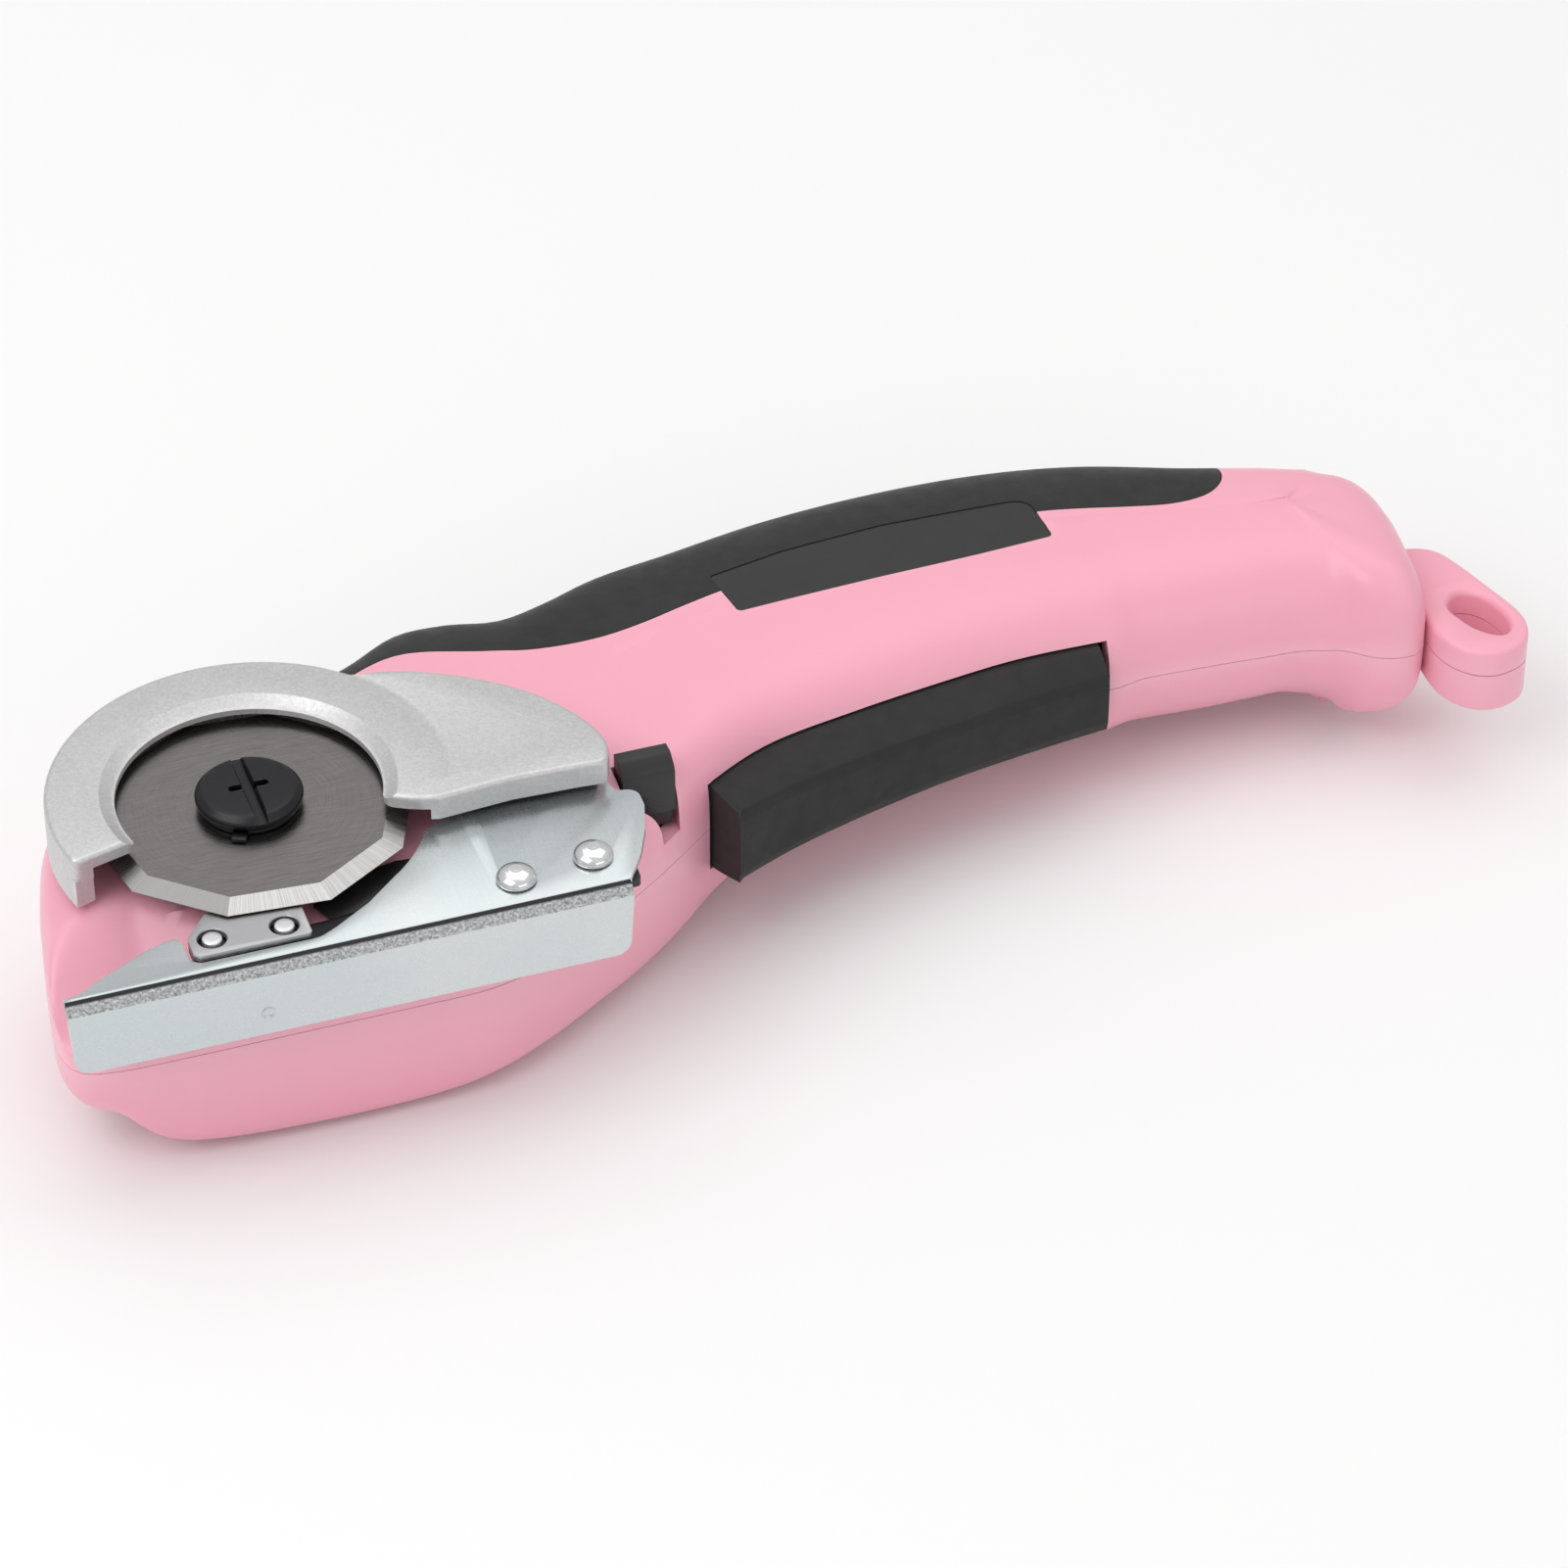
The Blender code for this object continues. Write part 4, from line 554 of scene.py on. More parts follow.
rubber = Look("elastomer_black", (0.022, 0.022, 0.023), 0.58, 0.0, Sheen_Weight=0.08)
rubber.b.inputs["Sheen Roughness"].default_value = 0.4
rubber.b.inputs["Specular IOR Level"].default_value = 0.28
rubber.colour(rubber.blend(rubber.noise(60, 4), (0.017, 0.0168, 0.017), (0.026, 0.0255, 0.026)))
rubber.rough(rubber.span(rubber.noise(350, 3), 0.3, 0.7, 0.50, 0.66))
rubber.bump(rubber.noise(2400, 3, 0.65), 0.45, 0.00004)

black = plastic("black_plastic_fine", (0.015, 0.015, 0.0155), 0.44, 3000, 0.00003, 0.2)

cast = Look("cast_aluminium", (0.66, 0.655, 0.65), 0.42, 0.75)
grain_c, grain_d = cast.cells(3000)
sep = cast.node("ShaderNodeSeparateColor")
cast.link(grain_c, sep.inputs[0])
cast.colour(cast.lighter_edges(cast.blend(cast.math("ADD", cast.math("MULTIPLY", sep.outputs[0], 0.6), cast.math("MULTIPLY", cast.noise(70, 4), 0.4)), (0.55, 0.542, 0.548), (0.70, 0.692, 0.698)), (0.80, 0.80, 0.80), strength=0.3))
cast.rough(cast.span(sep.outputs[1], 0, 1, 0.36, 0.52))
cast.bump(cast.noise(4200, 2, 0.55), 0.30, 0.000014)
cast.bump(cast.noise(1300, 3, 0.6), 0.12, 0.00002)

cast_bright = Look("cast_aluminium_turned", (0.80, 0.80, 0.80), 0.24, 0.95)
cc = cast_bright.shift(cast_bright.coord, world((0, 0, 0)))
sx = cast_bright.node("ShaderNodeSeparateXYZ")
cast_bright.link(cc, sx.inputs[0])
rad = cast_bright.math("SQRT", cast_bright.math("ADD", cast_bright.math("POWER", sx.outputs[0], 2), cast_bright.math("POWER", sx.outputs[1], 2)))
comb = cast_bright.node("ShaderNodeCombineXYZ")
cast_bright.link(cast_bright.math("MULTIPLY", rad, 9000), comb.inputs[0])
lines = cast_bright.noise(1.0, 3, 0.6, comb.outputs[0])
cast_bright.rough(cast_bright.span(lines, 0.3, 0.7, 0.17, 0.33))
cast_bright.colour(cast_bright.blend(lines, (0.70, 0.70, 0.70), (0.88, 0.88, 0.88)))
cast_bright.bump(lines, 0.25, 0.00001)

zinc = Look("zinc_plate", (0.60, 0.64, 0.65), 0.27, 0.85)
zinc.b.inputs["Coat Weight"].default_value = 0.15
hue = zinc.noise(24, 4, 0.5)
hue2 = zinc.noise(90, 4, 0.6)
scratch = zinc.noise(1.0, 6, 0.7, zinc.stretch(zinc.coord, (4200, 160, 900), (0, 0, 0.5)))
scratch2 = zinc.noise(1.0, 6, 0.7, zinc.stretch(zinc.coord, (260, 5200, 900), (0, 0, 0.25)))
tint = zinc.blend(zinc.span(hue, 0.3, 0.7, 0, 1), (0.56, 0.625, 0.645), (0.68, 0.705, 0.70))
tint = zinc.blend(zinc.span(hue2, 0.45, 0.75, 0, 0.45), tint, (0.60, 0.63, 0.70))
zinc.colour(tint)
zinc.rough(zinc.math("ADD", zinc.span(scratch, 0.35, 0.75, 0.20, 0.32), zinc.span(scratch2, 0.4, 0.8, 0.03, 0.14)))
zinc.bump(scratch, 0.14, 0.00001)
zinc.bump(scratch2, 0.10, 0.00001)
zinc.bump(zinc.noise(3000, 2), 0.12, 0.00001)

bend = Look("zinc_bend", (0.42, 0.44, 0.45), 0.42, 0.85)
bz = bend.node("ShaderNodeSeparateXYZ")
bend.link(bend.shift(bend.coord, world((0, SOLE_Y + 1.7, FOOT_TOP - 1.7))), bz.inputs[0])
turn_at = bend.math("ARCTAN2", bz.outputs[2], bend.math("MULTIPLY", bz.outputs[1], -1.0))
grit = bend.noise(2400, 3, 0.7)
tone_b = bend.blend(bend.span(grit, 0.3, 0.7, 0, 1), (0.16, 0.165, 0.17), (0.74, 0.76, 0.77))
# a near-black band along the upper part of the fold, set by its angle: a painted dark reflection on the bent metal
painted_dark_reflection = bend.math("MULTIPLY", bend.span(turn_at, 0.95, 1.15, 0, 1), bend.span(turn_at, 1.52, 1.60, 1, 0))
bend.colour(bend.blend(painted_dark_reflection, tone_b, (0.03, 0.03, 0.032)))
bend.bump(bend.noise(1.0, 4, 0.7, bend.stretch(bend.coord, (5200, 700, 700))), 0.6, 0.00004)


def steel_look(name, colour, rough, grain=(5200, 220, 220), turn=(0, 0, 0), deep=0.2):
    k = Look(name, colour, rough, 1.0)
    lines = k.noise(1.0, 5, 0.65, k.stretch(k.coord, grain, turn))
    k.colour(k.lighter_edges(k.blend(lines, tuple(c * 0.86 for c in colour), tuple(min(1, c * 1.12) for c in colour)), tuple(min(1, c * 1.3 + 0.03) for c in colour)))
    k.rough(k.span(lines, 0.3, 0.75, rough - 0.07, rough + 0.12))
    k.bump(lines, deep, 0.00001)
    return k.m


steel = steel_look("steel_brushed", (0.60, 0.60, 0.61), 0.27)
anvil_steel = steel_look("anvil_steel", (0.47, 0.47, 0.48), 0.40, (700, 5200, 700), deep=0.25)
chrome = steel_look("chromed_rivet", (0.80, 0.81, 0.82), 0.13, (1500, 1500, 1500), deep=0.05)
white_rivet = steel_look("rivet_flat", (0.74, 0.74, 0.75), 0.38, (2400, 2400, 2400), deep=0.1)
oxide = steel_look("black_oxide", (0.040, 0.040, 0.043), 0.36, (1800, 1800, 1800), deep=0.25)
brass = steel_look("brass_machined", (0.72, 0.50, 0.20), 0.25)
bronze = steel_look("bronze_sintered", (0.50, 0.31, 0.14), 0.42, (3600, 3600, 3600), deep=0.4)
copper = steel_look("copper_winding", (0.68, 0.28, 0.14), 0.3, (300, 300, 9000), deep=0.5)
magnet = steel_look("ferrite", (0.08, 0.08, 0.085), 0.55, (2600, 2600, 2600), deep=0.4)


def polar(look, centre):
    s = look.node("ShaderNodeSeparateXYZ")
    look.link(look.shift(look.coord, centre), s.inputs[0])
    ang = look.math("ARCTAN2", s.outputs[1], s.outputs[0])
    r = look.math("SQRT", look.math("ADD", look.math("POWER", s.outputs[0], 2), look.math("POWER", s.outputs[1], 2)))
    return ang, r


blade_flat = Look("blade_flat", (0.25, 0.235, 0.232), 0.27, 1.0)
ang, r = polar(blade_flat, world((0, 0, 0)))
c1 = blade_flat.node("ShaderNodeCombineXYZ")
blade_flat.link(blade_flat.math("MULTIPLY", r, 5200), c1.inputs[0])
blade_flat.link(blade_flat.math("MULTIPLY", ang, 2.2), c1.inputs[1])
rings_ = blade_flat.noise(1.0, 5, 0.65, c1.outputs[0])
lap = blade_flat.noise(1.0, 4, 0.6, blade_flat.stretch(blade_flat.coord, (240, 4200, 240), (0, 0, 0.7)))
blade_flat.colour(blade_flat.blend(blade_flat.math("MULTIPLY", blade_flat.math("ADD", blade_flat.math("MULTIPLY", rings_, 0.35), blade_flat.math("MULTIPLY", lap, 1.65)), 0.5), (0.125, 0.115, 0.112), (0.36, 0.335, 0.328)))
blade_flat.rough(blade_flat.span(rings_, 0.3, 0.7, 0.22, 0.38))
blade_flat.bump(lap, 0.16, 0.00001)
blade_flat.bump(rings_, 0.04, 0.00001)

blade_bevel = Look("blade_bevel", (0.72, 0.71, 0.70), 0.22, 1.0)
ang, r = polar(blade_bevel, world((0, 0, 0)))
c2 = blade_bevel.node("ShaderNodeCombineXYZ")
blade_bevel.link(blade_bevel.math("MULTIPLY", ang, 150), c2.inputs[0])
blade_bevel.link(blade_bevel.math("MULTIPLY", r, 60), c2.inputs[1])
strokes = blade_bevel.noise(1.0, 6, 0.75, c2.outputs[0])
# each of the ten bevel facets gets its own tone between dark and bright: painted reflection, standing in for facets
# that face the lights differently
facet = blade_bevel.math("FRACT", blade_bevel.math("MULTIPLY", blade_bevel.math("SINE", blade_bevel.math("MULTIPLY", blade_bevel.math("FLOOR", blade_bevel.math("DIVIDE", blade_bevel.math("SUBTRACT", ang, math.radians(BLADE_TURN)), math.radians(36))), 12.9898)), 43.7))
painted_facet_reflection = blade_bevel.blend(facet, (0.36, 0.352, 0.35), (0.78, 0.77, 0.765))
blade_bevel.colour(blade_bevel.blend(blade_bevel.span(strokes, 0.32, 0.68, 0.15, 0.85), (0.27, 0.262, 0.26), painted_facet_reflection))
blade_bevel.rough(blade_bevel.span(strokes, 0.3, 0.7, 0.14, 0.36))
blade_bevel.bump(strokes, 0.5, 0.00002)

nylon = plastic("nylon_white", (0.80, 0.79, 0.74), 0.45, 1800, 0.00003)
grey = plastic("grey_glass_filled", (0.20, 0.21, 0.22), 0.5, 1500, 0.00006, 0.2)
board = plastic("circuit_mask", (0.018, 0.15, 0.065), 0.35, 900, 0.00004, 0.25)
wrap_blue = plastic("cell_sleeve", (0.07, 0.26, 0.40), 0.3, 500, 0.00003, 0.1)
red = plastic("insulation_red", (0.55, 0.03, 0.02), 0.4, 900, 0.00003, 0.15)
wire_black = plastic("insulation_black", (0.02, 0.02, 0.02), 0.4, 900, 0.00003, 0.2)

BY_SLOT = {"pink_plastic": pink.m, "black_elastomer": rubber.m, "black_plastic": black, "cast_aluminium": cast.m, "zinc_plated_steel": zinc.m, "blade_steel": blade_flat.m,
           "steel": steel, "black_oxide_steel": oxide, "bronze": bronze, "brass": brass, "white_nylon": nylon, "grey_plastic": grey, "circuit_board": board, "ferrite": magnet,
           "copper": copper, "cell_wrap": wrap_blue, "red_wire": red, "black_wire": wire_black}
SLOT_OF = {s["node"]: s["material_slot"] for s in frame["record"]["subparts"]}
BODY_OF = {n: b for b, ns in frame["record"]["behaviour"]["bodies"].items() for n in ns}
for n, o in NODES.items():
    o.data.materials.clear()
    o.data.materials.append(BY_SLOT[SLOT_OF[n]])


def place(obj, node, mats):
    """a finished piece stands for a CAD node and rides on its body"""
    mats = list(mats) if isinstance(mats, (list, tuple)) else [mats]
    index = [min(f.material_index, len(mats) - 1) for f in obj.data.polygons]
    obj.data.materials.clear()
    for m in mats:
        obj.data.materials.append(m)
    obj.data.polygons.foreach_set("material_index", index)
    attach(obj, BODY_OF[node])
    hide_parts(node)
    return obj


# ---- housing ---------------------------------------------------------------------------------------------------------
def side_middle(loop):
    """half way between the belly and the spine, at steps along X"""
    out, n = [], 64
    for k in range(n + 1):
        x = RIDGE_X[0] + (RIDGE_X[1] - RIDGE_X[0]) * k / n
        hits = []
        for a, b in zip(loop, loop[1:] + loop[:1]):
            if (a[0] - x) * (b[0] - x) <= 0 and a[0] != b[0]:
                hits.append(a[1] + (x - a[0]) / (b[0] - a[0]) * (b[1] - a[1]))
        out.append((x, 0.5 * (min(hits) + max(hits))))
    soft = []
    for k in range(len(out)):
        near = out[max(0, k - 4):k + 5]
        soft.append((out[k][0], sum(p[1] for p in near) / len(near)))
    return soft


HULL = smooth_loop(OUTLINE, 260)
MIDDLE = side_middle(HULL)
GAP_Z = 0.06


def soft_min(a, b, k):
    h = max(0.0, min(1.0, 0.5 + 0.5 * (b - a) / k))
    return b + (a - b) * h - k * h * (1 - h)


def nose_limit(x, y, drop=0.0):
    return PART_Z + 15.0 - drop + min(0.0, y - between(NOSE_EDGE, x)) * NOSE_SLOPE


def flatten(z, limit, x):
    far = min(1.0, max(0.0, (x - 50.0) / 26.0))
    head = 1.4 * max(0.0, min(1.0, (16.0 - x) / 8.0))
    if far <= 0.0:
        return soft_min(z, limit, head * min(1.0, max(0.0, (z - PART_Z) / 6.0)) + 0.001)
    return soft_min(z, limit + 0.9 * far, 5.0 * far)


def relief(x, y):
    """how far the skin stands off the plain form: a collar behind the trigger and a waist before the tail"""
    s = 0.93 * x - 0.37 * y
    d = 0.0
    if 105 < s < 127.5:
        t = (s - 105) / 22.5
        low = max(0.0, min(1.0, (34.0 - y) / 20.0))
        d += 0.95 * low * (t * t * (3 - 2 * t) if s < 126.2 else max(0.0, (127.5 - s) / 1.3))
    w = (0.92 * x - 0.39 * y - 157.4) / 3.0
    d -= 0.85 * math.exp(-w * w) * max(0.0, min(1.0, (36.0 - y) / 16.0))
    e = x + 0.10 * y - 187.2
    if y > 14.0:
        d -= 0.9 * max(0.0, min(1.0, (y - 20.0) / 10.0)) * max(0.0, min(1.0, (e + 0.7) / 1.4))
    return d


def crown(above, inset, start, steps):
    rings, n = [], len(HULL)
    pre = []
    for i, (x, y, ka, kb, ha, hb) in enumerate(HULL):
        ax, ay = HULL[i - 1][:2]
        bx, by = HULL[(i + 1) % n][:2]
        u = Vector((by - ay, ax - bx)).normalized()
        rx = min(max(x, RIDGE_X[0]), RIDGE_X[1])
        pre.append((x, y, u.x, u.y, rx, between(MIDDLE, rx), ka if above else kb, ha if above else hb))
    for j in range(steps + 1):
        ring = []
        for x, y, ux, uy, rx, ry, k, h in pre:
            e = inset - relief(x, y)
            t0 = math.asin(min(1.0, (start / (h - inset)) ** (k / 2)))
            t = t0 + (math.radians(89.0) - t0) * (j / steps) ** 0.85
            w = math.cos(t) ** (2 / k)
            z = (h - inset + relief(x, y) * 0.6) * math.sin(t) ** (2 / k)
            px, py = rx + (x - ux * e - rx) * w, ry + (y - uy * e - ry) * w
            pz = PART_Z + z if above else PART_Z - z
            if above:
                low = max(nose_limit(px, py, inset * 1.25), PART_Z + start + 0.30 * (pz - PART_Z - start))
                pz = flatten(pz, low, px)
            ring.append((px, py, pz))
        rings.append(ring)
    return rings


def stack(rings, faces, at):
    """side faces of a stack of rings that starts at point number at"""
    n = len(rings[0])
    for j in range(len(rings) - 1):
        for i in range(n):
            k = (i + 1) % n
            faces.append((at + j * n + i, at + j * n + k, at + (j + 1) * n + k, at + (j + 1) * n + i))
    return at + len(rings) * n



def shell(name, above):
    outer, inner = crown(above, 0.0, GAP_Z, 22), crown(above, WALL, GAP_Z, 5)
    pts, faces, n = [], [], len(HULL)
    for ring in outer + inner:
        pts.extend(ring)
    at = stack(outer, faces, 0)
    end = stack(inner, faces, at)
    faces.append(tuple(at - n + i for i in range(n)))
    faces.append(tuple(end - n + i for i in range(n)))
    for i in range(n):
        k = (i + 1) % n
        faces.append((i, k, at + k, at + i))
    return solid(name, pts, faces)


GUARD_SCREWS = [(31.5, 12.5), (-23.5, 13.25)]
FACE_Y = [(66.0, -11.6), (69.5, -10.2), (81.0, -5.7), (94.0, -2.1), (111.0, 1.5), (127.0, 4.0), (136.0, 5.0)]
SIDE_Y = [(66.0, -4.4), (70.0, -3.0), (75.2, 1.0), (82.0, 3.4), (90.3, 5.2), (98.4, 6.6), (106.5, 7.6), (114.3, 8.1), (122.3, 8.6), (136.0, 9.4)]
ROOF_Y = [(60.0, 7.0), (80.0, 9.5), (98.0, 12.5), (112.0, 15.0), (122.0, 17.5), (136.0, 18.5)]


def front_x(y, r=TRIGGER_ARC):
    return TRIGGER_PIN[0] - math.sqrt(r * r - (y - TRIGGER_PIN[1]) ** 2)


LOCK_X = (53.5, 61.5)
PORT = (189.0, 23.0)
PORT_TURN = math.radians(-6)


def port_place(p):
    """u out of the tail, v across the socket"""
    return (PORT[0] + p[0] * math.cos(PORT_TURN) - p[1] * math.sin(PORT_TURN), PORT[1] + p[0] * math.sin(PORT_TURN) + p[1] * math.cos(PORT_TURN), p[2])


LOOP = [(188.0, 17.5), (187.0, 9.0), (186.6, 0.5), (188.0, -4.2), (191.0, -7.2), (194.6, -7.8), (198.6, -6.2), (200.8, -2.2), (200.9, 2.0),
        (199.0, 9.0), (197.2, 15.2), (195.2, 19.6), (192.0, 21.6), (188.6, 21.4)]
LOOP_LOW = -26.0
TAIL = [(20.9, 20.4), (27.0, 19.2), (33.0, 16.6), (39.0, 12.8), (44.0, 8.4), (47.8, 3.4), (50.3, -1.6), (51.4, -5.6), (51.3, -8.4), (50.2, -11.6)]
def sole_place(p):
    """an outline in X and Z, thickness along Y"""
    return (p[0], SOLE_Y + FOOT_T - p[2], p[1])


FOOT_RIVETS = [(31.7, -26.5), (43.5, -25.3)]
ANVIL_RIVETS = [(-12.4, -25.6), (-2.1, -26.1)]
anvil_loop = [(-15.7, -24.6), (-13.0, -21.2), (-12.0, -20.0), (1.3, -20.0), (1.3, -28.6), (0.9, -28.9), (-14.9, -28.9), (-15.7, -28.0)][::-1]
turn = Matrix.Rotation(math.radians(-90), 4, "Z")


def slot_place(p):
    v = turn @ Vector(p)
    return (v.x, v.y, v.z)


KEY_TURN = -115.0


def slug(name, above, inset, start=GAP_Z, steps=20):
    """the housing's half as a full solid"""
    rings = crown(above, inset, start, steps)
    pts, faces, n = [], [], len(HULL)
    for ring in rings:
        pts.extend(ring)
    end = stack(rings, faces, 0)
    faces.append(tuple(end - n + i for i in range(n)))
    faces.append(tuple(range(n)))
    return solid(name, pts, faces)


def area(loop):
    return 0.5 * sum(a[0] * b[1] - b[0] * a[1] for a, b in zip(loop, loop[1:] + loop[:1]))


def shrink(loop, d):
    return inset_loop(loop, d) if area(loop) > 0 else inset_loop(loop, -d)


def wrap(above, loop, out_by, depth, name):
    """a slab of the housing's skin inside a plan outline, from out_by outside the surface to depth inside it"""
    z = (PART_Z + GAP_Z, 20.0) if above else (-70.0, PART_Z - GAP_Z)
    body = slug(name, above, -out_by)
    combine(body, slug("core", above, depth, GAP_Z - 0.03), "DIFFERENCE")
    combine(body, layers("plan", loop, [(z[0] - 5, 0), (z[1] + 5, 0)]), "INTERSECT")
    return body


def second_slot(obj):
    """gives an object two slots and puts all its faces in the second, so that what it cuts shows the second material"""
    for m in (None, None)[len(obj.data.materials):]:
        obj.data.materials.append(pink.m)
    obj.data.polygons.foreach_set("material_index", [1] * len(obj.data.polygons))
    return obj


def rounded(points, radii, n=5):
    """an outline with its corners rounded"""
    out, m = [], len(points)
    for i in range(m):
        r = radii[i] if isinstance(radii, (list, tuple)) else radii
        a, b, c = Vector(points[i - 1]), Vector(points[i]), Vector(points[(i + 1) % m])
        if r <= 0:
            out.append(tuple(b))
            continue
        u, v = (a - b), (c - b)
        lu, lv = u.length, v.length
        u, v = u / lu, v / lv
        ang = math.acos(max(-1.0, min(1.0, u.dot(v))))
        if ang > math.radians(175):
            out.append(tuple(b))
            continue
        d = min(r / math.tan(ang / 2), 0.48 * lu, 0.48 * lv)
        r = d * math.tan(ang / 2)
        mid = b + (u + v).normalized() * (r / math.sin(ang / 2))
        p, q = b + u * d - mid, b + v * d - mid
        t0, t1 = math.atan2(p.y, p.x), math.atan2(q.y, q.x)
        dt = (t1 - t0 + math.pi) % (2 * math.pi) - math.pi
        for k in range(n + 1):
            t = t0 + dt * k / n
            out.append((mid.x + r * math.cos(t), mid.y + r * math.sin(t)))
    return out


def soft_corners(loop, spots):
    """a dense outline with chosen corners eased: spots are (x, y, length of the easing on each side)"""
    for x, y, far in spots:
        m = len(loop)
        k = min(range(m), key=lambda i: math.hypot(loop[i][0] - x, loop[i][1] - y))
        c = loop[k]

        def walk(step):
            d, i = 0.0, k
            while True:
                a, b = loop[i % m], loop[(i + step) % m]
                e = math.hypot(b[0] - a[0], b[1] - a[1])
                if d + e >= far:
                    t = (far - d) / e
                    return (a[0] + (b[0] - a[0]) * t, a[1] + (b[1] - a[1]) * t), i + step
                d, i = d + e, i + step

        (p, before), (q, after) = walk(-1), walk(1)
        ease = [tuple((1 - t) ** 2 * p[j] + 2 * t * (1 - t) * c[j] + t * t * q[j] for j in (0, 1)) for t in (n / 9 for n in range(10))]
        keep = [loop[i % m] for i in range(after, before + m + 1)]
        loop = ease + keep
    return loop


def edge_levels(z0, z1, r0, r1, n=4):
    """heights and insets of a slab with rounded lower and upper edges"""
    out = []
    if r0 > 0:
        out += [(z0 + r0 * (1 - math.sin(a)), r0 * (1 - math.cos(a))) for a in (math.pi / 2 * (1 - k / n) for k in range(n + 1))]
    else:
        out.append((z0, 0))
    if r1 > 0:
        out += [(z1 - r1 * (1 - math.sin(a)), r1 * (1 - math.cos(a))) for a in (math.pi / 2 * k / n for k in range(n + 1))]
    else:
        out.append((z1, 0))
    return out


def resample(loop, step):
    """more points along an outline, none further apart than step"""
    out = []
    for a, b in zip(loop, loop[1:] + loop[:1]):
        n = max(1, int(math.hypot(b[0] - a[0], b[1] - a[1]) / step))
        out += [(a[0] + (b[0] - a[0]) * k / n, a[1] + (b[1] - a[1]) * k / n) for k in range(n)]
    return out


upper, lower = shell("housing_upper_finished", True), shell("housing_lower_finished", False)
for case in (upper, lower):
    case.data.materials.append(pink.m)
    case.data.materials.append(pink.m)

# screw posts and their holes
NET = {a: [p for ring in crown(a, 0.0, GAP_Z, 20) for p in ring] for a in (True, False)}


def skin_z(x, y, above):
    near = sorted((math.hypot(p[0] - x, p[1] - y), p[2]) for p in NET[above])[:4]
    return sum(z / (d + 0.1) for d, z in near) / sum(1 / (d + 0.1) for d, z in near)


CORE = {a: slug("limit", a, WALL / 2, 0.03) for a in (True, False)}


def within(obj, above):
    """trims posts and ribs to end in the middle of the housing's wall"""
    limit = CORE[above].copy()
    limit.data = CORE[above].data.copy()
    bpy.context.scene.collection.objects.link(limit)
    return combine(obj, limit, "INTERSECT")


join(upper, within(together("posts", [rod("post", 3.4, (x, y, PART_Z + 0.2), (x, y, 1.0), 32) for x, y in SCREW_SPOTS] + [block("rib", (69.5, 14.0, PART_Z + 0.2), (80.5, 15.6, 1.0)), block("rib", (84.0, 22.4, PART_Z + 3.9), (96.4, 23.8, 1.0)), rod("pin_boss", 3.4, (*TRIGGER_PIN, PART_Z + 8.35), (*TRIGGER_PIN, 1.0), 32)]), True))
join(lower, within(together("posts", [rod("post", 3.7, (x, y, -42.0), (x, y, PART_Z - 0.2), 32) for x, y in SCREW_SPOTS] + [block("rib", (69.5, 14.0, -42.0), (80.5, 15.6, PART_Z - 0.2)), block("rib", (84.0, 22.4, -42.0), (96.4, 23.8, PART_Z - 3.9)), rod("pin_boss", 3.4, (*TRIGGER_PIN, -42.0), (*TRIGGER_PIN, PART_Z - 8.35), 32)]), False))
for case in (upper, lower):
    cut(case, rod("pin_hole", 1.9, (*TRIGGER_PIN, PART_Z - 11.8), (*TRIGGER_PIN, PART_Z + 11.8), 28))
cut(upper, together("pilots", [rod("pilot", 1.5, (x, y, PART_Z - 5), (x, y, PART_Z + 8.0), 24) for x, y in SCREW_SPOTS]))
cut(lower, together("holes", [turned("hole", [(0, -60), (2.95, -60), (2.95, skin_z(x, y, False) + 0.02), (2.65, skin_z(x, y, False) + 0.32), (2.65, -27.0), (1.5, -27.0), (1.5, -10), (0, -10)], 36, None, (x, y, 0)) for x, y in SCREW_SPOTS]))

# rubber over the spine
GRIP_EDGE = [(20.0, 29.5), (26.0, 32.8), (31.0, 33.9), (36.5, 32.9), (44.7, 29.8), (50.2, 28.0), (56.1, 27.2), (62.3, 27.3),
             (68.9, 28.6), (76.0, 30.7), (84.0, 32.6), (97.0, 35.0), (111.0, 36.2), (125.0, 36.2), (134.6, 35.3), (141.0, 33.9), (148.0, 32.0), (154.5, 30.6),
             (159.8, 30.9), (163.2, 32.8), (165.2, 36.0), (166.0, 41.0), (166.0, 46.0)]
grip_line = [tuple(p[:2]) for p in smooth_path([(x, y, 0) for x, y in GRIP_EDGE], 120)]
grip_loop = grip_line + [(166.0, 80.0), (20.0, 80.0)]
PANEL = [(82.9, 26.4), (90.1, 26.8), (106.1, 27.6), (122.2, 28.1), (134.1, 28.6), (134.0, 37.8), (132.4, 39.2), (110.6, 40.0), (94.2, 38.7), (81.5, 36.2)]
panel_loop = soft_corners(resample(PANEL, 1.2), [(82.9, 26.4, 0.7), (134.1, 28.6, 0.7), (134.0, 37.8, 1.6), (132.4, 39.2, 1.6), (81.5, 36.2, 0.8)])
sliver = [(80.75, 36.6), (81.4, 36.6), (82.9, 26.1), (82.0, 26.0)]
for above, case, name in ((True, upper, "spine_grip_upper"), (False, lower, "spine_grip_lower")):
    cut(case, second_slot(wrap(above, shrink(grip_loop, -0.16), 3.0, 1.5, "recess")))
    grip = wrap(above, grip_loop, 0.0, 1.2, name + "_finished")
    if above:
        combine(grip, wrap(True, shrink(panel_loop, -0.1), 3.0, 1.9, "recess"), "DIFFERENCE")
    shade(grip, 45)
    place(grip, name, rubber.m)
cut(upper, second_slot(wrap(True, shrink(panel_loop, -0.2), 3.0, 1.3, "recess")))
cover = wrap(True, panel_loop, -0.12, 1.0, "side_cover_finished")
shade(cover, 45)
place(cover, "side_cover", black)

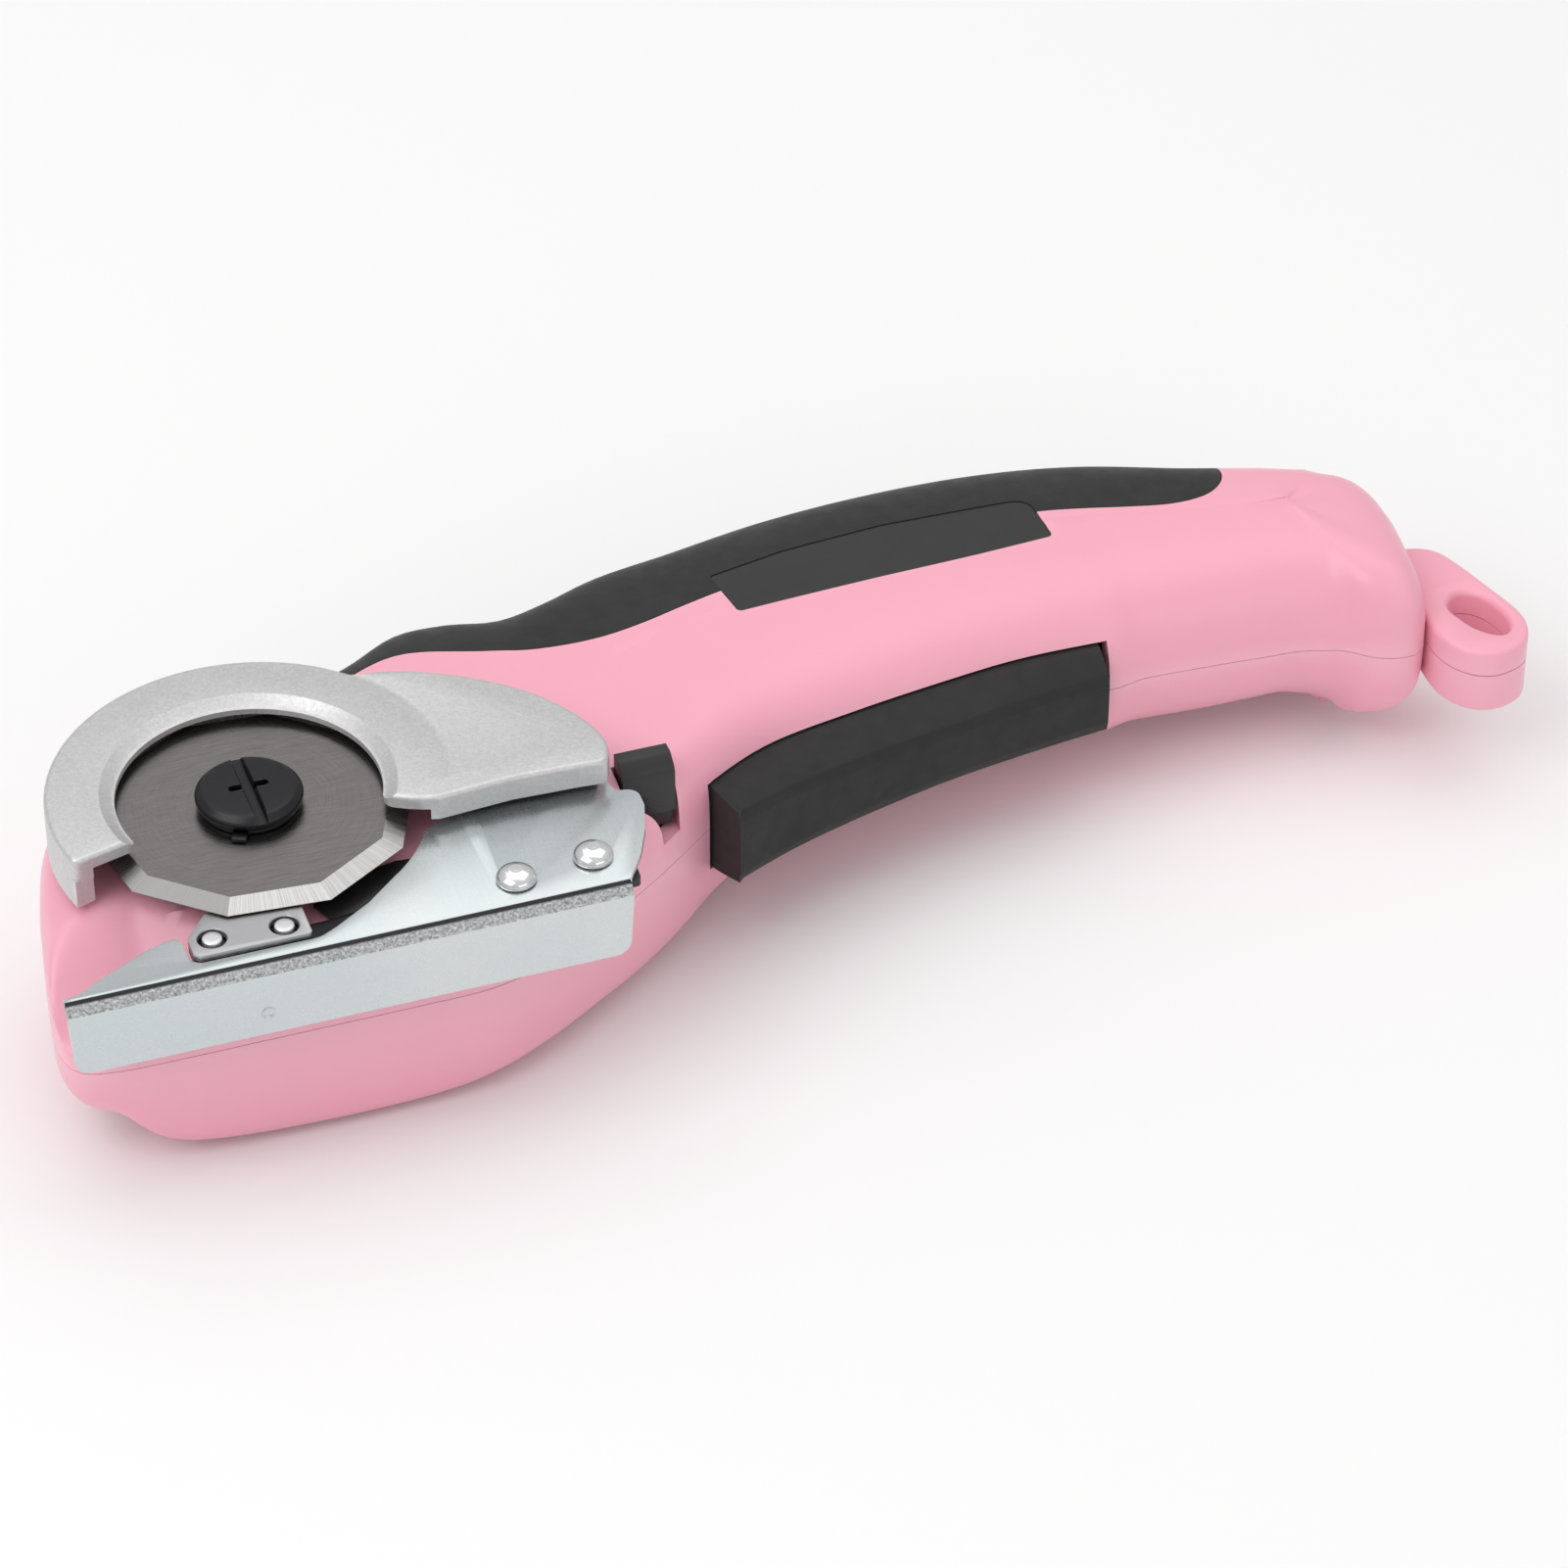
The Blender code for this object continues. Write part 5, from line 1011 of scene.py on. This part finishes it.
DC, DS = math.cos(math.radians(DRIVE_TURN)), math.sin(math.radians(DRIVE_TURN))
cut(upper, rod("hole", 6.4, (0, 0, -12), (0, 0, 5), 72))
cut(upper, together("seats", [turned("hole", [(0, -13), (2.1, -13), (2.1, -6.9), (1.5, -6.9), (1.5, 5), (0, 5)], 24, None, (x, y, 0)) for x, y in GUARD_SCREWS]))

slot = [(front_x(y, TRIGGER_ARC + 0.5), y) for y in (8.2, 6.0, 4.0, 2.0, 0.0, -2.0, -4.0, -6.0, -8.0, -14.0)] + [(80.0, -20.0), (136.2, -20.0), (136.2, 17.6), (122.0, 16.0), (98.0, 11.0), (80.0, 9.0)]
for case in (upper, lower):
    cut(case, layers("slot", slot, [(PART_Z - TRIGGER_HALF - 0.4, 0), (PART_Z + TRIGGER_HALF + 0.4, 0)]))
cut(upper, block("slot", (LOCK_X[0] - 0.45, -10.9, -14.0), (LOCK_X[1] + 0.45, -3.1, 2.0)))
for case in (upper, lower):
    cut(case, layers("mouth", rounded([(-12.0, -1.95), (6.0, -1.95), (6.0, 1.95), (-12.0, 1.95)], 0.0), [(PART_Z - 4.9, 0), (PART_Z + 4.9, 0)], None, None, port_place))
# hanging loop, moulded with the back shell
loop_line = [tuple(p) for p in smooth_loop([(x, y) for x, y in LOOP], 96)]
loop_hole = [tuple(p) for p in smooth_loop([(191.2, 6.0), (193.6, 8.4), (196.6, 6.8), (198.3, 2.6), (198.2, -1.4), (196.0, -3.2), (193.3, -1.0), (191.8, 2.4)], 56)]


def eye_tool(z0, z1):
    """the loop's eye with a small radius at both mouths"""
    grown = [(z0 - 2, -1.2), (z0 - 0.02, -0.9), (z0 + 0.2, -0.5), (z0 + 0.6, -0.15), (z0 + 1.1, 0), (z1 - 1.1, 0), (z1 - 0.6, -0.15), (z1 - 0.2, -0.5), (z1 + 0.02, -0.9), (z1 + 2, -1.2)]
    return layers("eye", loop_hole, grown if area(loop_hole) > 0 else [(z, -d) for z, d in grown])


turn_in = 1 if area(loop_line) > 0 else -1
lug = layers("lug", loop_line, [(z, d * turn_in) for z, d in edge_levels(LOOP_LOW, PART_Z - GAP_Z - 0.03, 0.9, 0)])
cut(lug, slug("inside", False, WALL - 0.6))
join(lower, lug)
cut(lower, eye_tool(LOOP_LOW, PART_Z + 4.3))
lug = layers("lug", loop_line, [(z, d * turn_in) for z, d in edge_levels(PART_Z + GAP_Z + 0.03, PART_Z + 4.3, 0, 0.9)])
cut(lug, slug("inside", True, WALL - 0.6))
join(upper, lug)
cut(upper, eye_tool(LOOP_LOW, PART_Z + 4.3))
join(upper, block("lock_rib", (LOCK_X[0] + 1.2, 0.9, -10.8), (LOCK_X[1] - 1.2, 2.1, -4.5)))
for o in CORE.values():
    gone = o.data
    bpy.data.objects.remove(o)
    bpy.data.meshes.remove(gone)
shade(upper, 38)
shade(lower, 38)
# the walls of the recesses that the grip and the side cover sit in are coloured dark brown: painted shade in the gaps
# between the housing and these parts
recess_wall_shade = plastic("recess_wall_painted_shade", (0.50, 0.30, 0.20), 0.5, 1800, 0.00003, 0.15)
place(upper, "housing_upper", [pink.m, recess_wall_shade])
place(lower, "housing_lower", [pink.m, recess_wall_shade])

# ---- cast guard ----------------------------------------------------------------------------------------------------
guard_outer = arc(0, 0, GUARD_R, 198.0, 52.0, 90) + [tuple(p[:2]) for p in smooth_path([(x, y, 0) for x, y in TAIL], 60)]
guard_lower = [(46.0, -11.2), (36.0, -10.8), (25.0, -11.6), (22.4, -11.0)]
guard_inner = arc(0, 0, GUARD_IN_R + 0.1, -25.6, 199.6, 120)
guard_loop = soft_corners(resample(guard_outer + guard_lower + guard_inner, 0.9), [(*guard_outer[0], 1.5), (*guard_inner[-1], 1.5), (*guard_outer[-1], 1.5), (22.4, -11.0, 2.4), (*guard_inner[0], 2.2)])[::-1]
sign = 1 if area(guard_loop) > 0 else -1
guard = layers("blade_guard_finished", guard_loop, [(z, d * sign) for z, d in edge_levels(0.5, GUARD_TOP, 0, 0.75, 5)])
skirt_outer = arc(0, 0, GUARD_R, 198.0, 52.0, 90) + [tuple(p[:2]) for p in smooth_path([(x, y, 0) for x, y in TAIL[:7]], 40)]
skirt_inner = [(46.8, -0.6), (44.6, 2.6), (40.6, 6.4), (35.0, 7.4), (27.8, 6.0)] + arc(0, 0, GUARD_POCKET_R, 14.0, 198.0, 90)
join(guard, layers("skirt", (skirt_outer + skirt_inner)[::-1], [(GUARD_LOW, 0), (0.9, 0)]))
cut(guard, turned("pocket", [(0, -6), (GUARD_POCKET_R, -6), (GUARD_POCKET_R, GUARD_UNDER), (0, GUARD_UNDER)], 120))
bevel_tool = turned("bevel", [(0, 3.2), (GUARD_IN_R + 0.25, 3.2), (GUARD_IN_R + 0.7, 3.4), (GUARD_IN_R + 1.9, 4.3), (GUARD_IN_R + 2.4, GUARD_TOP + 0.1), (GUARD_IN_R + 2.5, GUARD_TOP + 0.4), (0, GUARD_TOP + 0.4)], 160)
guard.data.materials.append(cast.m)
guard.data.materials.append(cast.m)
bevel_tool.data.materials.append(cast.m)
bevel_tool.data.materials.append(cast.m)
bevel_tool.data.polygons.foreach_set("material_index", [1] * len(bevel_tool.data.polygons))
cut(guard, bevel_tool)


def swept_arc(name, profile, a0, a1, n):
    """a closed (radius, height) profile swept between two angles about the blade's axis"""
    pts, faces, m = [], [], len(profile)
    for i in range(n + 1):
        a = math.radians(a0 + (a1 - a0) * i / n)
        pts += [(r * math.cos(a), r * math.sin(a), z) for r, z in profile]
    for i in range(n):
        for j in range(m):
            k = (j + 1) % m
            faces.append((i * m + j, i * m + k, (i + 1) * m + k, (i + 1) * m + j))
    faces.append(tuple(reversed(range(m))))
    faces.append(tuple(n * m + j for j in range(m)))
    return solid(name, pts, faces)


groove = [(27.9, 4.62), (28.15, 4.5), (28.6, 4.40), (29.1, 4.36), (29.6, 4.40), (30.05, 4.5), (30.3, 4.62)]
cut(guard, swept_arc("band", groove, 47.0, -14.0, 60))
join(guard, rod("boss", 2.0, (*GUARD_SCREWS[1], GUARD_LOW + 0.05), (*GUARD_SCREWS[1], 3.0), 32))
cut(guard, together("tapped", [rod("tapped", 1.3, (x, y, -6), (x, y, 1.6 if x > 0 else 1.0), 20) for x, y in GUARD_SCREWS]))
shade(guard, 30)
place(guard, "blade_guard", [cast.m, cast.m])

# a thin black sheet on the foot plate under the guard's tail stands in for the shade in the gap between the guard and
# the plate: painted shade given as a solid piece
gap_shade_sheet = layers("guard_gap_shade_sheet_finished", rounded([(28.4, -9.6), (35.5, -9.6), (46.0, -10.0), (49.0, -10.4), (50.0, -7.6), (49.2, -4.0), (46.4, -3.0), (29.0, -3.0)], 0.8, 4), edge_levels(-0.7, 0.2, 0, 0.12, 2))
shade(gap_shade_sheet)
place(gap_shade_sheet, "guard_spacer", black)

# ---- foot: plate with the sole folded down ----------------------------------------------------------------------------
BEND_R = 1.7
wing_left = [(SOLE_X[0] + 0.1, SOLE_Y + BEND_R + 0.2), (SOLE_X[1] - 0.1, SOLE_Y + BEND_R + 0.2)]
wing_line = [(47.4, -31.0), (50.3, -26.4), (52.6, -21.3), (54.1, -16.2), (54.2, -13.2), (53.2, -12.2), (51.2, -11.8), (50.6, -9.8), (48.6, -2.0), (44.0, -0.6), (32.0, -0.6), (29.4, -1.6), (28.4, -4.6), (27.6, -8.6)]
hook = [(10.6, -24.4), (4.9, -28.0), (2.2, -29.4), (-15.2, -29.4), (-16.3, -28.4), (-16.4, -24.0), (-17.4, -23.0), (-21.4, -24.3), (-27.9, -27.6), (-32.4, -30.2)]
raw = resample(wing_left + wing_line + arc(0, 0, 25.4, -27.0, -52.0, 26) + hook, 0.7)
wing = soft_corners(raw, [(54.2, -13.2, 0.9), (53.2, -12.2, 0.6), (51.2, -11.8, 0.5), (48.6, -2.0, 1.2), (44.0, -0.6, 1.2), (29.4, -1.6, 0.8), (2.2, -29.4, 1.0), (-15.2, -29.4, 0.8), (-16.4, -24.0, 0.6), (-17.4, -23.0, 0.6)])
turn_in = 1 if area(wing) > 0 else -1
foot = layers("foot_plate_finished", wing, [(z, d * turn_in) for z, d in edge_levels(FOOT_TOP - FOOT_T, FOOT_TOP, 0, 0.1, 2)])


def fold_arc(r, n=12):
    return [(SOLE_Y + BEND_R - r * math.cos(a), FOOT_TOP - BEND_R + r * math.sin(a)) for a in (math.pi / 2 * i / n for i in range(n + 1))]


section = ([(SOLE_Y + 0.1, SOLE_LOW), (SOLE_Y, SOLE_LOW + 0.1)] + fold_arc(BEND_R) + [(SOLE_Y + BEND_R + 0.75, FOOT_TOP - 0.01), (SOLE_Y + BEND_R + 0.75, FOOT_TOP - FOOT_T + 0.01)]
           + [(y, z + (0.01 if y > SOLE_Y + BEND_R - 0.02 else 0)) for y, z in fold_arc(BEND_R - FOOT_T)[::-1]] + [(SOLE_Y + FOOT_T, SOLE_LOW + 0.1), (SOLE_Y + FOOT_T - 0.1, SOLE_LOW)])
pts, faces, m = [], [], len(section)
N_ALONG = 24
for i in range(N_ALONG + 1):
    pts += [(SOLE_X[0] + (SOLE_X[1] - SOLE_X[0]) * i / N_ALONG, y, z) for y, z in section]
for i in range(N_ALONG):
    for j in range(m):
        k = (j + 1) % m
        faces.append((i * m + j, i * m + k, (i + 1) * m + k, (i + 1) * m + j))
faces.append(tuple(reversed(range(m))))
faces.append(tuple(N_ALONG * m + j for j in range(m)))
sole = solid("sole", pts, faces)
x0, x1 = SOLE_X
low_left = [(x0 - 2, -4.0), (x0, -4.0), (x0 + 0.4, -11.0), (x0 + 0.9, -12.2), (x0 + 1.7, -13.0), (x0 + 3.0, SOLE_LOW - 0.02), (x0 + 3.0, SOLE_LOW - 2), (x0 - 2, SOLE_LOW - 2)]
low_right = [(x1 + 2, -4.0), (x1, -4.0), (x1 - 0.5, -11.4), (x1 - 1.1, -12.5), (x1 - 2.0, -13.1), (x1 - 3.4, SOLE_LOW - 0.02), (x1 - 3.4, SOLE_LOW - 2), (x1 + 2, SOLE_LOW - 2)]
cut(sole, together("corners", [layers("corner", c, [(-1, 0), (2, 0)], place=sole_place) for c in (low_left, low_right)]))
for o in (foot, sole):
    o.data.materials.append(zinc.m)
    o.data.materials.append(bend.m)
for f in sole.data.polygons:
    c = local(f.center)
    if c.z > FOOT_TOP - BEND_R - 0.05 and c.y < SOLE_Y + BEND_R + 0.01 and c.z - (FOOT_TOP - BEND_R) > -(c.y - SOLE_Y - BEND_R) * 0.0 - 0.05:
        f.material_index = 1
join(foot, sole)
cut(foot, turned("dimple", [(0, -0.3), (0.55, -0.3), (0.9, -0.15), (1.2, 0.15), (1.3, 0.4), (0, 0.4)], 36, None, (-6.8, SOLE_Y, -9.4), (0, -1, 0)))
cut(foot, together("holes", [rod("hole", 1.9, (x, y, -4), (x, y, 2), 32) for x, y in FOOT_RIVETS]))
shade(foot, 25)
place(foot, "foot_plate", [zinc.m, bend.m])

# anvil strip, its sprung arm and the rivets
strip_loop = rounded(anvil_loop, 0.3, 3)
anvil = layers("anvil_strip_finished", strip_loop, edge_levels(-1.3, -0.3, 0, 0.1, 2))
arm = layers("anvil_arm_finished", strip_loop, [(-2.7, 0.05), (-1.6, 0.05)])
join(arm, layers("tail", rounded([(-6.0, -28.8), (1.0, -30.6), (49.0, -30.6), (49.6, -22.6), (30.0, -22.0), (16.0, -24.8), (-6.0, -24.8)], 0.8, 3), [(-3.5, 0), (-2.3, 0)]))
cut(anvil, together("holes", [turned("hole", [(0, -4), (2.1, -4), (2.1, -0.45), (2.3, -0.2), (0, -0.2)], 40, None, (x, y, 0)) for x, y in ANVIL_RIVETS]))
cut(arm, together("holes", [rod("hole", 1.8, (x, y, -6), (x, y, 2), 32) for x, y in ANVIL_RIVETS] + [rod("hole", 1.9, (x, y, -6), (x, y, 2), 32) for x, y in FOOT_RIVETS]))
place(shade(anvil, 25), "anvil_strip", anvil_steel)
place(shade(arm, 25), "anvil_arm", oxide)
for k, (x, y) in enumerate(ANVIL_RIVETS):
    o = turned("anvil_rivet_%d_finished" % (k + 1), [(0, -3.4), (1.45, -3.4), (1.45, -0.42), (1.38, -0.28), (1.2, -0.2), (0.6, -0.19), (0, -0.18)], 40, None, (x, y, 0))
    place(shade(o, 40), "anvil_rivet_%d" % (k + 1), white_rivet)
for k, (x, y) in enumerate(FOOT_RIVETS):
    prof = [(0, -3.5), (1.5, -3.5), (1.5, -0.72), (2.9, -0.72)]
    prof += [(2.95 * math.cos(math.radians(a)), -0.6 + 1.75 * math.sin(math.radians(a))) for a in range(0, 68, 6)]
    prof += [(0.98, 1.12), (0.85, 1.10), (0.5, 1.13), (0, 1.14)]
    o = turned("foot_rivet_%d_finished" % (k + 1), prof, 56, None, (x, y, 0))
    place(shade(o, 50), "foot_rivet_%d" % (k + 1), chrome)

mark = layers("marking_strip_finished", rounded([(3.6, -19.6), (5.2, -23.4), (12.0, -22.8), (18.0, -18.6), (21.4, -14.4), (17.4, -14.0), (9.4, -15.6)], 0.5, 3), edge_levels(-3.65, -3.32, 0, 0.08, 2))
place(shade(mark, 30), "marking_strip", black)

# ---- blade, screw, washer ------------------------------------------------------------------------------------------------
corners = [(math.cos(math.radians(BLADE_TURN + 36 * i)), math.sin(math.radians(BLADE_TURN + 36 * i))) for i in range(BLADE_SIDES)]
rows = [(BLADE_R - 0.05, 0.0), (BLADE_R, 0.04), (BLADE_R - 0.02, 0.10), (BLADE_FLAT_R + 0.06, BLADE_T - 0.035), (BLADE_FLAT_R - 0.05, BLADE_T)]
pts = []
SUB = 6
ring_pts = []
for i in range(10):
    (ax, ay), (bx, by) = corners[i], corners[(i + 1) % 10]
    ring_pts += [(ax + (bx - ax) * k / SUB, ay + (by - ay) * k / SUB) for k in range(SUB)]
for r, z in rows:
    pts += [(x * r, y * r, z) for x, y in ring_pts]
m = len(ring_pts)
faces = [tuple(reversed(range(m))), tuple(4 * m + i for i in range(m))]
for j in range(4):
    for i in range(m):
        k = (i + 1) % m
        faces.append((j * m + i, j * m + k, (j + 1) * m + k, (j + 1) * m + i))
blade = solid("cutting_blade_finished", pts, faces)
for mat in (blade_flat.m, blade_bevel.m):
    blade.data.materials.append(mat)
for p in blade.data.polygons:
    c = local(p.center)
    p.material_index = 1 if abs(p.normal.z) < 0.995 and p.normal.z > 0.2 else 0
bore = rod("bore", BLADE_BORE_R, (0, 0, -3), (0, 0, 3), 56)
cut(blade, bore)
shade(blade, 12)
place(blade, "cutting_blade", [blade_flat.m, blade_bevel.m])

prof = [(0, -11.5), (2.1, -11.5), (2.1, 2.0), (6.7, 2.0), (7.3, 2.12), (7.72, 2.42), (SCREW_R, 2.7), (SCREW_R, 3.05), (7.72, 3.3), (7.5, 3.55), (7.05, 3.95), (6.9, 4.12), (6.6, 4.22), (6.2, 4.26), (5.6, 4.30), (3.0, 4.38), (0, 4.4)]
screw = turned("blade_screw_finished", prof, 96)
cut(screw, layers("slot", rounded([(-9.0, -0.85), (9.0, -0.85), (9.0, 0.85), (-9.0, 0.85)], 0), [(3.15, 0.12), (3.4, 0), (4.1, 0), (4.5, -0.25), (5.0, -0.5)], None, None, slot_place))
cut(screw, layers("cross", rounded([(-0.55, -2.9), (0.55, -2.9), (0.55, 2.9), (-0.55, 2.9)], 0.4, 4), [(3.3, 0.1), (4.1, 0), (5.0, -0.1)], None, None, slot_place))
place(shade(screw, 32), "blade_screw", oxide)
washer_loop = rounded(arc(0, 0, 7.1, KEY_TURN + 9, KEY_TURN + 351, 90) + [(9.1 * math.cos(math.radians(KEY_TURN - 7)), 9.1 * math.sin(math.radians(KEY_TURN - 7))), (9.1 * math.cos(math.radians(KEY_TURN + 7)), 9.1 * math.sin(math.radians(KEY_TURN + 7)))],
                      [0] * 91 + [0.3, 0.3], 3)
washer = layers("keyed_washer_finished", washer_loop, edge_levels(1.25, 1.75, 0, 0.1, 2))
cut(washer, rod("bore", 2.6, (0, 0, 0), (0, 0, 3), 40))
place(shade(washer, 30), "keyed_washer", oxide)

# ---- trigger ---------------------------------------------------------------------------------------------------------------
def curve(table, x):
    """a smooth curve through a table of (x, value)"""
    n = len(table)
    if x <= table[0][0]:
        return table[0][1]
    if x >= table[-1][0]:
        return table[-1][1]
    for i in range(n - 1):
        if x <= table[i + 1][0]:
            (x1, y1), (x2, y2) = table[i], table[i + 1]
            x0, y0 = table[i - 1] if i else (2 * x1 - x2, 2 * y1 - y2)
            x3, y3 = table[i + 2] if i + 2 < n else (2 * x2 - x1, 2 * y2 - y1)
            h = x2 - x1
            t = (x - x1) / h
            m1, m2 = (y2 - y0) / (x2 - x0) * h, (y3 - y1) / (x3 - x1) * h
            return (2 * t ** 3 - 3 * t * t + 1) * y1 + (t ** 3 - 2 * t * t + t) * m1 + (-2 * t ** 3 + 3 * t * t) * y2 + (t ** 3 - t * t) * m2
    return table[-1][1]


def paddle(name, grow):
    pts, faces = [], []
    w = TRIGGER_HALF + grow
    xs = [66.4 - grow + (68.4 + 2 * grow) * k / 70 for k in range(71)]
    first = None
    for xx in xs:
        x = xx
        f, s, r = curve(FACE_Y, x) - grow, curve(SIDE_Y, x), curve(ROOF_Y, x) + (3.0 if grow < 0 else 0.0)
        c = 6.6 - 1.4 * min(1.0, max(0.0, (x - 66) / 40)) + grow * 0.7
        half = rounded([(r, 0.0), (r, w), (s, w), (f + 0.55, c + 0.1), (f + 0.05, c - 1.6), (f, 0.0)], [0, 0, 0.9, 0.9, 1.5, 0], 4)
        ring = [(y, z) for y, z in half] + [(y, -z) for y, z in reversed(half[1:-1])]
        pts += [(xx, y, PART_Z + z) for y, z in ring]
        first = first or len(ring)
    n = first
    for j in range(len(xs) - 1):
        for i in range(n):
            k = (i + 1) % n
            faces.append((j * n + i, j * n + k, (j + 1) * n + k, (j + 1) * n + i))
    faces.append(tuple(range(n)))
    faces.append(tuple((len(xs) - 1) * n + i for i in range(n)))
    return solid(name, pts, faces)


PIN = (TRIGGER_PIN[0], TRIGGER_PIN[1], PART_Z)
trigger = paddle("trigger_finished", 0.0)
cut(trigger, paddle("inside", -1.8))
nose = [(front_x(y), y) for y in (30.0, 14.0, 12.0, 10.0, 8.0, 6.0, 4.0, 2.0, 0.0, -2.0, -4.0, -6.0, -8.0, -10.0, -12.0, -14.0, -30.0)]
cut(trigger, layers("front_arc", nose + [(20.0, -30.0), (20.0, 30.0)], [(-60, 0), (20, 0)]))
join(trigger, layers("front_wall", [(front_x(y) + 0.02, y) for y in (6.0, 4.0, 2.0, 0.0, -2.0, -4.0, -6.0, -8.0, -9.4)] + [(front_x(y) + 2.0, y) for y in (-8.0, -4.0, 0.0, 6.0)], [(PART_Z - 6.6, 0), (PART_Z + 6.6, 0)]))
join(trigger, block("pin_block", (127.2, 9.0, PART_Z - 6.8), (134.2, 19.4, PART_Z + 6.8)))
join(trigger, block("post", (88.2, -1.7, PART_Z - 2.0), (92.4, 10.2, PART_Z + 2.0)))
cut(trigger, rod("pin_bore", 1.9, (PIN[0], PIN[1], -60), (PIN[0], PIN[1], 20), 32))
cut(trigger, layers("roof_cut", [(126.0, 30.0), (124.0, 17.4), (127.6, 19.3), (136.5, 19.2), (136.5, 30.0)], [(-60, 0), (20, 0)]))
shade(trigger, 40)
place(trigger, "trigger", rubber.m)

# ---- lock button and springs ----------------------------------------------------------------------------------------------
lock = like("lock_button", 0.22, 3)
place(lock, "lock_button", black)


def coil_fine(name, a, b, r, wire, turns):
    a, b = Vector(a), Vector(b)
    put = frame_at(a, b - a)
    n, length = int(turns * 28), (b - a).length - 2 * wire
    path = []
    for i in range(n + 1):
        t = i / n
        f = min(1.0, max(0.0, (t * turns - 0.8) / (turns - 1.6)))
        path.append(put((r * math.cos(2 * math.pi * turns * t), r * math.sin(2 * math.pi * turns * t), wire + length * f * 0.92 + length * 0.08 * t)))
    return shade(tube(name, path, wire, 10), 60)


spring = coil_fine("trigger_spring_finished", (75.0, -5.3, PART_Z), (75.0, 13.7, PART_Z), 2.6, 0.35, 7)
place(spring, "trigger_spring", steel)
spring2 = coil_fine("lock_spring_finished", (57.5, 2.35, -9.1), (57.5, 8.35, -9.1), 1.4, 0.28, 5)
place(spring2, "lock_spring", steel)
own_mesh(spring)
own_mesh(spring2)

# ---- floor, light, camera ----------------------------------------------------------------------------------------------------
floor_mesh = bpy.data.meshes.new("floor")
bm = bmesh.new()
N = 24
for i in range(N + 1):
    for j in range(N + 1):
        bm.verts.new(((i / N - 0.5) * 6.0, (j / N - 0.5) * 6.0, 0.0))
bm.verts.ensure_lookup_table()
for i in range(N):
    for j in range(N):
        bm.faces.new([bm.verts[i * (N + 1) + j], bm.verts[(i + 1) * (N + 1) + j], bm.verts[(i + 1) * (N + 1) + j + 1], bm.verts[i * (N + 1) + j + 1]])
bm.to_mesh(floor_mesh)
bm.free()
floor = bpy.data.objects.new("floor", floor_mesh)
bpy.context.scene.collection.objects.link(floor)
pale = Look("floor_pale", (0.90, 0.90, 0.90), 0.85)
pale.colour(pale.blend(pale.noise(2.0, 2), (0.895, 0.895, 0.893), (0.905, 0.905, 0.904)))
floor.data.materials.append(pale.m)

world_ = bpy.data.worlds.new("studio")
bpy.context.scene.world = world_
world_.use_nodes = True
wt = world_.node_tree
bg = wt.nodes["Background"]
gen = wt.nodes.new("ShaderNodeTexCoord")
sepw = wt.nodes.new("ShaderNodeSeparateXYZ")
ramp = wt.nodes.new("ShaderNodeValToRGB")
wt.links.new(gen.outputs["Generated"], sepw.inputs[0])
wt.links.new(sepw.outputs[2], ramp.inputs[0])
ramp.color_ramp.elements[0].position = 0.0
ramp.color_ramp.elements[0].color = (0.66, 0.66, 0.66, 1)
ramp.color_ramp.elements[1].position = 1.0
ramp.color_ramp.elements[1].color = (1.0, 1.0, 1.0, 1)
wt.links.new(ramp.outputs["Color"], bg.inputs["Color"])
bg.inputs["Strength"].default_value = 0.80


def softbox(name, at, aim, size, power, colour=(1, 1, 1)):
    lamp = bpy.data.lights.new(name, "AREA")
    lamp.shape = "RECTANGLE"
    lamp.size, lamp.size_y = size
    lamp.energy = power
    lamp.color = colour
    o = bpy.data.objects.new(name, lamp)
    bpy.context.scene.collection.objects.link(o)
    o.location = at
    o.rotation_euler = (Vector(aim) - Vector(at)).to_track_quat("-Z", "Y").to_euler()
    return o


softbox("key_left", (-0.75, -0.25, 0.95), (0.0, 0.0, 0.02), (0.9, 0.7), 4.2)
softbox("top", (0.15, 0.35, 1.3), (0.0, 0.0, 0.02), (1.8, 1.2), 4.5)
softbox("front_fill", (0.35, -1.1, 0.55), (0.0, 0.0, 0.02), (1.0, 0.5), 1.0)

cam = bpy.data.cameras.new("camera")
cam.lens = 134.9
cam.sensor_width = 36.0
cam.sensor_fit = "HORIZONTAL"
cam.clip_start = 0.05
cam.clip_end = 20
camera = bpy.data.objects.new("camera", cam)
bpy.context.scene.collection.objects.link(camera)
camera.location = (-0.2245872, -0.6552133, 0.5698177)
camera.rotation_euler = (Vector((-0.0088742, -0.0319473, 0.0398017)) - camera.location).to_track_quat("-Z", "Y").to_euler()
bpy.context.scene.camera = camera
bpy.context.scene.view_settings.view_transform = "Standard"
bpy.context.scene.view_settings.look = "None"
bpy.context.scene.view_settings.exposure = 0.0
bpy.context.scene.view_settings.gamma = 1.0

bpy.context.view_layer.update()
